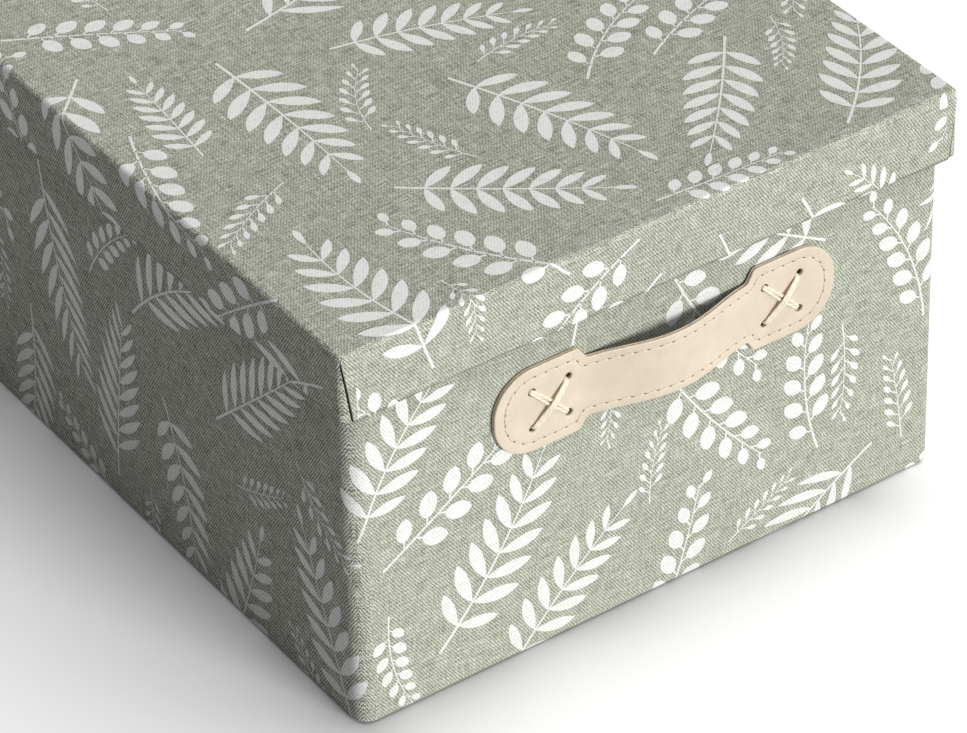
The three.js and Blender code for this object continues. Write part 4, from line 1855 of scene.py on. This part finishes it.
@dataclass
class Handle:
    """One leather handle: two layers sewn together, and the place where it is laced on.

    face_rings are insets from the face's net to its edge. mouth_rings widen a hole at depths.
    """

    shape: HandleShape
    size: BoxSizes
    end: str
    finishes: Wardrobe
    edge_radius: float = 0.45
    edge_points: int = 6
    face_rings: Row = (5.6, 4.9, 4.3, 4.1, 3.9, 3.7, 3.5, 3.3, 2.7, 1.6, 0.8)
    outer_cut_row: int = 13
    backing_shade_row: int = 17
    # The backing's near-black painted shade runs from this ring on: its lower edge and back.
    net_step: float = 2.0
    net_reach: Point = (84.0, 16.0)
    net_margin: float = 1.0
    hole_margin: float = 1.1
    hole_steps: int = 20
    mouth_rings: tuple[Point, ...] = ((0.3, 0.0), (0.14, 0.06), (0.03, 0.18), (0.0, 0.35))
    stitch_pitch: float = 5.6
    stitch_length: float = 4.1
    thread_radius: float = 0.4
    thread_shares: Row = (0.6, 0.9, 1.0, 1.0, 1.0, 1.0, 0.9, 0.6)
    thread_flatness: float = 0.85
    thread_dive: float = 0.22
    thread_arch: float = 0.5
    slit_half: Point = (0.85, 0.3)
    slit_points: int = 13
    slit_lift: float = 0.02

    def placed(self, local: Array) -> Array:
        """Moves places from the handle's frame to the wall: for the far end by half a turn."""
        shift = [self.size.handle_shift, -self.size.body_half_depth, self.size.handle_height]
        return self.turned(local + shift)

    def turned(self, direction: Array) -> Array:
        """A direction of the handle's frame on the wall."""
        return direction if self.end == "front" else direction * [-1, -1, 1]

    def layer(self, low: float, high: float, sewn: bool, cut_row: int) -> Surface:
        """One layer of leather: rings for face, rounded edge and back, nets inside, and hole walls.

        Args:
            low: how far out its back is.
            high: how far out its face is.
            sewn: whether the seam presses a groove into it.
            cut_row: the ring from which the second material begins.

        Returns:
            The closed surface.
        """
        shape, edge = self.shape, self.edge_radius
        turn = np.linspace(0, math.pi / 2, self.edge_points)
        face = np.array(self.face_rings)
        soft, curve = edge - edge * np.sin(turn), edge * np.cos(turn)
        insets = np.concatenate([face, soft, soft[::-1], face[::-1]])
        top = high - shape.groove(face - shape.seam_inset) if sewn else np.full(len(face), high)
        rim = [high - edge + curve, (low + edge - curve)[::-1]]
        outs = np.concatenate([top, *rim, np.full(len(face), low)])
        rings = np.stack([shape.outline(inset) for inset in insets])
        places = shape.on_handle(rings[..., 0], rings[..., 1], outs[:, None]).reshape(-1, 3)
        faces = grid_faces(*rings.shape[:2])[:, ::-1]
        row = faces.min(axis=1) // rings.shape[1]
        sides = [Surface(places, faces, parts=(row >= cut_row).astype(int))]
        flat, net = self.net(rings[0, :-1])
        for out, part, faces in ((high, 0, net), (low, 1, net[:, ::-1])):
            places = shape.on_handle(*flat.T, out)
            sides.append(Surface(places, faces, parts=np.full(len(net), part)))
        whole = merged([*sides, *self.hole_walls(low, high)])
        whole.points = self.placed(whole.points)
        return whole

    def net(self, outer: Array) -> tuple[Array, Array]:
        """Fills an outline with triangles a net's step wide, the holes left open.

        Args:
            outer: the outline, (n, 2).

        Returns:
            The places, (p, 2), and the triangles.
        """
        shape, holes = self.shape, self.shape.holes()
        angle = np.linspace(0, 2 * math.pi, self.hole_steps, endpoint=False)
        mouth = (shape.hole_radius + self.mouth_rings[0][0]) * directions(angle)
        loops = [outer, *(hole + mouth for hole in holes)]
        lines = (np.arange(-reach, reach + 1, self.net_step) for reach in self.net_reach)
        grid = np.stack(np.meshgrid(*lines), axis=-1).reshape(-1, 2)
        clear = nearest(grid, holes) > shape.hole_radius + self.hole_margin
        grid = grid[clear & (nearest(grid, outer) > self.net_margin)]
        edges, start = [], len(grid)
        for loop in loops:
            number = np.arange(len(loop))
            edges += np.column_stack([start + number, start + (number + 1) % len(loop)]).tolist()
            start += len(loop)
        spots = [Vector(spot) for spot in np.concatenate([grid, *loops]).tolist()]
        found = delaunay_2d_cdt(spots, edges, [], 1, ON_THE_LINE)
        flat = np.array([tuple(spot) for spot in found[0]])
        net = np.array([face for face in found[2] if len(face) == 3])
        mouth_edge = shape.hole_radius + self.mouth_rings[0][0] - 0.05
        net = net[nearest(flat[net].mean(axis=1), holes) > mouth_edge]
        return flat, np.where(flat_areas(flat[net])[:, None] < 0, net[:, ::-1], net)

    def hole_walls(self, low: float, high: float) -> list[Surface]:
        """Works out the holes' walls, from the face's mouth in and down to the back's.

        Args:
            low: how far out the layer's back is.
            high: how far out its face is.

        Returns:
            A wall for each hole.
        """
        widening, depth = np.array(self.mouth_rings).T
        radii = self.shape.hole_radius + np.array([*widening, 0.0, widening[0]])
        outs = np.array([*(high - depth), low, low])
        rings = radii[:, None, None] * directions(np.linspace(0, 2 * math.pi, self.hole_steps + 1))
        faces = grid_faces(*rings.shape[:2])
        parts = (faces.min(axis=1) // rings.shape[1] >= 2).astype(int)
        walls = []
        for hole in self.shape.holes():
            x, up = np.moveaxis(hole + rings, -1, 0)
            places = self.shape.on_handle(x, up, outs[:, None]).reshape(-1, 3)
            walls.append(Surface(places, faces, parts=parts))
        return walls

    def seam(self) -> tuple[Surface, Surface]:
        """Works out the stitches round the handle and the needle slits between them.

        Returns:
            Both.
        """
        loop = self.shape.outline(self.shape.seam_inset)
        steps = np.linalg.norm(np.diff(loop, axis=0), axis=1)
        travel = np.concatenate([[0.0], np.cumsum(steps)])
        count = round(travel[-1] / self.stitch_pitch)
        pitch = travel[-1] / count

        def at(run: Array) -> Array:
            """The seam's places at distances along it."""
            run = np.mod(run, travel[-1])
            return np.column_stack([np.interp(run, travel, column) for column in loop.T])

        run = np.linspace(0, 1, len(self.thread_shares)) * self.stitch_length
        across = self.stitch_length + (pitch - self.stitch_length) / 2 + np.array([-0.5, 0.0, 0.5])
        starts = np.arange(count) * pitch
        stitches = [self.stitch(at(start + run)) for start in starts]
        return merged(stitches), merged([self.needle_slit(at(start + across)) for start in starts])

    def stitch(self, spots: Array) -> Surface:
        """Works out one stitch, which arches by its share's sine to the power of one half.

        Args:
            spots: the seam's line under it.

        Returns:
            The thread.
        """
        shape, t = self.shape, np.linspace(0, 1, len(spots))
        out = shape.outer[1] - shape.groove_depth - self.thread_dive
        path = shape.on_handle(*spots.T, out + self.thread_arch * np.sin(math.pi * t) ** 0.5)
        side = np.cross(path[-1] - path[0], [0, -1, 0])
        wide = self.thread_radius * np.array(self.thread_shares)
        return tube(self.placed(path), self.turned(side), wide, wide * self.thread_flatness, 6)

    def needle_slit(self, spots: Array) -> Surface:
        """Works out one needle slit: an oval along the seam, a flat sheet of painted hole shade.

        Args:
            spots: the line just before it, at its middle and after.

        Returns:
            The slit.
        """
        before, spot, after = spots
        ahead, count = unit(after - before), self.slit_points
        angle = np.linspace(0, 2 * math.pi, count)
        long, wide = self.slit_half[0] * np.cos(angle), self.slit_half[1] * np.sin(angle)
        ring = spot + long[:, None] * ahead + wide[:, None] * square_to(ahead)
        flat = np.stack([np.repeat(spot[None], count, 0), ring])
        off = np.stack([np.zeros(count), wide])
        out = self.shape.outer[1] - self.shape.groove(off) + self.slit_lift
        places = self.shape.on_handle(flat[..., 0], flat[..., 1], out).reshape(-1, 3)
        return Surface(self.placed(places), grid_faces(2, count)[:, ::-1])

    def build(self) -> None:
        """Makes the handle's pieces and sets them on the body."""
        shape, look = self.shape, self.finishes
        outer = self.layer(*shape.outer, True, self.outer_cut_row)
        backing = self.layer(*shape.backing, False, self.backing_shade_row)
        sewn, slits = self.seam()
        backing_wear, name = [look.backing_edge, look.backing], f"{self.end}_handle"
        for part, surface, wear, node, slot in (
            ("outer", outer, [look.leather, look.cut_edge], f"{name}_outer_leather", "leather"),
            ("backing", backing, backing_wear, f"{name}_backing_leather", "backing_leather"),
            ("stitches", sewn, [look.stitch], f"{name}_seam_thread", "seam_thread"),
            ("needle_slits", slits, [look.needle_hole_shade], None, "leather"),
        ):
            settle(make_piece(f"{name}_{part}", surface, wear), "box", node)
        for side, sign in (("left", -1), ("right", 1)):
            node, lacing = f"{self.end}_{side}_lacing", Lacing(self, sign * shape.pair_half)
            cord = make_piece(f"{node}_cord", lacing.surface(), [look.cord])
            settle(cord, "box", node)


@dataclass
class Lacing:
    """A waxed cord laid double, crossed over four holes and knotted inside the box.

    A knot of its path is how far across, up and out it is, the way to its side, and how far to
    each side the strands run.
    """

    handle: Handle
    middle: float
    half_width: float = 0.8
    half_thickness: float = 0.58
    round_halves: Point = (0.73, 0.68)
    crest: float = 1.7
    off_leather: float = 0.6
    lining_gap: float = 0.75
    knot_gap: float = 1.6
    knot_size: float = 0.82

    def over(self, start: Array, end: Array, crest: float, entries: Point) -> list[list[float]]:
        """Works out one stretch over the leather.

        Args:
            start: the hole that it comes out of.
            end: the hole that it goes into.
            crest: how far its middle is raised.
            entries: how far past each hole's middle it enters.

        Returns:
            Its knots.
        """
        face, ahead = self.handle.shape.outer[1], unit(end - start)
        length = float(np.linalg.norm(end - start))
        level = face + self.off_leather

        def half(entry: float) -> list[Triple]:
            """From a hole to near the middle: distance, height and how far apart."""
            rows = [(entry, -1.2, 0.35), (entry + 0.1, face - 0.5, 0.42)]
            rows += [(entry + 0.9, face + 0.42, 0.52), (entry + 2.4, level + crest / 5, 0.66)]
            if not crest:
                return rows + [(length / 2 - 3.0, level, 0.92)]
            rows += [(length / 4, level + crest / 2, 0.74)]
            return rows + [(length / 2 - 1.5, level + 0.93 * crest, 0.82)]

        far = [(length - run, out, apart) for run, out, apart in reversed(half(entries[1]))]
        rows, side = half(entries[0]) + far, [ahead[1], -ahead[0], 0.0]
        return [[*(start + ahead * run), out, *side, apart] for run, out, apart in rows]

    def surface(self) -> Surface:
        """Works out the strands, the knot inside, which is a trefoil, and its ends.

        Returns:
            The whole lacing.
        """
        shape = self.handle.shape
        a, u = shape.hole_across, shape.hole_up
        deep = -self.handle.size.lining_inset - self.lining_gap
        hole = {(x, z): np.array([x * a, z * u]) for x in (-1, 1) for z in (-1, 1)}

        def inside(x: float, *rows: Triple) -> list[list[float]]:
            """Knots behind the lining, from how high, how far out and how far apart they are."""
            return [[x, up, deep + out, 1.0, 0.0, 0.0, apart] for up, out, apart in rows]

        turn_in = (u - 1.6, 0.2, 0.6)
        turn_out = (-u + 1.6, 0.2, 0.6)
        knots = inside(-a, (1.2, -1.0, 0.7), (5.5, 0.0, 0.8), turn_in)
        knots += self.over(hole[-1, 1], hole[1, -1], 0.0, (-0.8, 1.25))
        knots += inside(a, turn_out, (-3.0, 0.0, 0.85), (3.0, 0.0, 0.85), turn_in)
        knots += self.over(hole[1, 1], hole[-1, -1], self.crest, (1.25, 0.2))
        knots += inside(-a, turn_out, (-5.5, 0.0, 0.8), (-1.2, -1.0, 0.7))
        path = np.array(knots)
        for row in range(1, len(path)):
            if path[row, 3:6] @ path[row - 1, 3:6] < 0:
                path[row:, 3:6] *= -1
        path = smooth_path(path, 7)
        side = unit(path[:, 3:6])
        pieces = [self.strand(path[:, :3] + side * (sign * path[:, 6:]), side) for sign in (-1, 1)]
        t = np.linspace(0, 2 * math.pi, 73)
        wind = [np.sin(t) + 2 * np.sin(2 * t), (np.cos(t) - 2 * np.cos(2 * t)) * 1.15]
        wind = np.column_stack([*wind, -np.sin(3 * t) * 1.1]) * self.knot_size
        pieces.append(self.strand(wind + [-a, 0.0, deep - self.knot_gap]))
        for lean in (-1, 1):
            rows = (0, 0, -self.knot_gap), (1.5, -3.5, -1.4), (2.6, -8.0, -0.6), (3.2, -13.0, -0.2)
            end = np.array([[-a + across * lean, up, deep + out] for across, up, out in rows])
            pieces.append(self.strand(smooth_path(end, 6)))
        return merged(pieces)

    def strand(self, line: Array, side: Optional[Array] = None) -> Surface:
        """Works out one strand.

        Args:
            line: its middle line, as across, up and out.
            side: the way to its broad side, or none if it is round.

        Returns:
            The strand, on the wall.
        """
        path = np.column_stack([line[:, 0] + self.middle, -line[:, 2], line[:, 1]])
        if side is None:
            way = np.cross(np.gradient(path, axis=0), [0.1, 1.0, 0.2])
            halves = self.round_halves
        else:
            way = np.column_stack([side[:, 0], np.zeros(len(side)), side[:, 1]])
            halves = self.half_width, self.half_thickness
        across, through = (np.full(len(path), half) for half in halves)
        return tube(self.handle.placed(path), self.handle.turned(way), across, through)


# Assembly


@dataclass
class Box:
    """The whole box: covers, print, linings, boards and handles."""

    size: BoxSizes
    finishes: Wardrobe
    nodes: dict[str, Piece]
    pin_reach: Point = (8.0, 4.0)
    pin_steps: int = 16
    print_inset: float = 5.5
    print_hem: float = 0.6

    def pins(self) -> Surface:
        """Works out closed pins where both handles' cords go through the walls.

        Returns:
            The pins.
        """
        shape, size, (inward, outward) = HandleShape(), self.size, self.pin_reach
        deep = np.array([-inward, -inward, outward, outward])[:, None]
        radius = shape.hole_radius * np.array([0.0, 1.0, 1.0, 0.0])[:, None]
        angle = np.linspace(0, 2 * math.pi, self.pin_steps + 1)
        pins = []
        for way in (1, -1):
            for x, up in shape.holes():
                across = (x + size.handle_shift + radius * np.cos(angle)) * way
                along = -(size.body_half_depth + deep + 0 * angle) * way
                high = up + size.handle_height + radius * np.sin(angle)
                places = np.stack([across, along, high], axis=-1)
                pins.append(Surface(places.reshape(-1, 3), grid_faces(*places.shape[:2])))
        return merged(pins)

    def wrap(self, node: str, cloth: WrappedCloth, finish: Material, body: str, slot: str) -> Piece:
        """Makes a cloth piece that stands for a CAD node."""
        return settle(make_piece(f"{node}_cloth", cloth.surface(), [finish]), body, node)

    def add_print(self, name: str, print_: LeafPrint, body: str) -> None:
        """Makes a print and sets it on its body."""
        for ink in print_.build(name, self.finishes.ink):
            settle(ink, body)

    def build_body(self) -> None:
        """Makes the body's cover, print, lining and base cloth."""
        size, look, linings = self.size, self.finishes, Linings(self.size)
        cover = BodyCover.of(size)
        piece = self.wrap("body_cover", cover, look.cloth, "box", "body_print")
        drill(piece, self.pins())
        length = cover.plan.length
        low = cover.profile.find(self.print_inset, size.cover_foot)
        high = float(cover.profile.travel[-1]) - self.print_hem
        field_ends = (0.0, low), (length, high)
        self.add_print("body_print", BodyPrint(cover, *field_ends, seed=11, round=length), "box")
        lining = self.wrap("body_lining", linings.body(), look.cotton, "box", "lining")
        drill(lining, self.pins())
        base = self.wrap("base_cloth", linings.base(), look.cotton, "box", "lining")

    def build_lid(self) -> None:
        """Makes the lid's cover, print and lining."""
        size, look = self.size, self.finishes
        cover = LidCover.of(size)
        piece = self.wrap("lid_cover", cover, look.cloth, "lid", "lid_print")
        drop, halves = cover.edge_high, (size.lid_half_width, size.lid_half_depth)
        wide, deep = (half + drop for half in halves)
        ink = LidPrint(cover, (-wide, -deep), (wide, deep), seed=5)
        self.add_print("lid_print", ink, "lid")
        lining = self.wrap("lid_lining", Linings(size).lid(), look.cotton, "lid", "lining")

    def dress_boards(self) -> None:
        """Gives the boards, which keep their CAD shape, their material."""
        for name, node in self.nodes.items():
            if name.endswith("_board"):
                for place in node.material_slots:
                    place.material = self.finishes.board
                log.info("%s: board", name)

    def build(self) -> None:
        """Makes every piece."""
        self.build_body()
        self.build_lid()
        for end in ("front", "back"):
            Handle(HandleShape(), self.size, end, self.finishes).build()
        self.dress_boards()


# Studio


@dataclass(frozen=True)
class Studio:
    """White paper, a soft sun from the front, one from above, and a dim pale surround.

    Each lamp is a name, a strength, how many degrees across it looks, and the way to it.
    """

    lamps: tuple[tuple[str, float, float, Triple], ...] = (
        ("front_lamp", 2.93, 26.0, (0.2, -0.96, 0.15)),
        ("top_lamp", 1.8, 75.0, (0.42, -0.12, 0.9)),
    )
    surround: Triple = (0.133, 0.136, 0.141)
    focal_pixels: float = 4992.4
    picture_width: float = 967.0
    sensor: float = 36.0
    clip: Point = (0.05, 60.0)
    azimuth: float = -33.721
    elevation: float = 37.221
    roll: float = -1.938
    distance: float = 2193.58
    slide: Point = (-78.592, 100.592)
    origin: Triple = (0.0, -215.0, 0.0)
    floor_reach: float = 12000.0
    floor_step: float = 1000.0

    def add_camera(self) -> None:
        """Sets the camera: round the box by azimuth and elevation, then rolled and slid."""
        a, e, r = (math.radians(turn) for turn in (self.azimuth, self.elevation, self.roll))
        back = Vector((math.sin(a) * math.cos(e), -math.cos(a) * math.cos(e), math.sin(e)))
        right = (-back).cross(Vector((0, 0, 1))).normalized()
        above = right.cross(-back)
        across = math.cos(r) * right + math.sin(r) * above
        upward = -math.sin(r) * right + math.cos(r) * above
        spot = Vector(self.origin) + back * self.distance
        spot = spot + across * self.slide[0] + upward * self.slide[1]
        data = bpy.data.cameras.new("camera")
        data.sensor_width = self.sensor
        data.lens = self.focal_pixels * self.sensor / self.picture_width
        data.clip_start, data.clip_end = self.clip
        camera = bpy.data.objects.new("camera", data)
        turn = Matrix((across, upward, back)).transposed().to_4x4()
        camera.matrix_world = Matrix.Translation(spot / METRE) @ turn
        bpy.context.scene.collection.objects.link(camera)
        bpy.context.scene.camera = camera

    def add_lights(self) -> None:
        """Adds the lamps and the surround, which the camera sees as white."""
        for name, strength, softness, direction in self.lamps:
            data = bpy.data.lights.new(name, "SUN")
            data.energy, data.angle = strength, math.radians(softness)
            lamp = bpy.data.objects.new(name, data)
            lamp.rotation_mode = "QUATERNION"
            lamp.rotation_quaternion = Vector(direction).to_track_quat("Z", "Y")
            bpy.context.scene.collection.objects.link(lamp)
        world = bpy.data.worlds.new("studio")
        world.use_nodes = True
        tree = world.node_tree
        tree.nodes.clear()
        inputs = {0: seeing_rays(tree), 6: (*self.surround, 1), 7: (1, 1, 1, 1)}
        colour = add_node(tree, "Mix", inputs, data_type="RGBA").outputs[2]
        light = add_node(tree, "Background", {"Color": colour})
        add_node(tree, "OutputWorld", {"Surface": light.outputs[0]})
        bpy.context.scene.world = world

    def add_floor(self) -> None:
        """Lays the paper under the box."""
        line = spread(-self.floor_reach, self.floor_reach, self.floor_step)
        x, y = np.meshgrid(line, line)
        places = np.stack([x, y, np.zeros_like(x)], axis=-1).reshape(-1, 3)
        paper = Surface(places, grid_faces(*x.shape))
        make_piece("studio_floor", paper, [StudioFloor().build()])

    def build(self) -> None:
        """Sets the studio up."""
        self.add_camera()
        self.add_lights()
        self.add_floor()
        bpy.context.scene.view_settings.view_transform = "Standard"


def corners(bounds: tuple[Vector, Vector]) -> list[list[float]]:
    """A box's lowest and highest corner as plain lists."""
    return [list(map(float, corner)) for corner in bounds]


def main() -> None:
    """Builds the box and its studio."""
    logging.basicConfig(level=logging.INFO, format="%(name)s: %(message)s")
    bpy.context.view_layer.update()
    Studio().build()
    Box(BoxSizes(), Wardrobe(), frame["nodes"]).build()


if __name__ == "__main__":
    main()
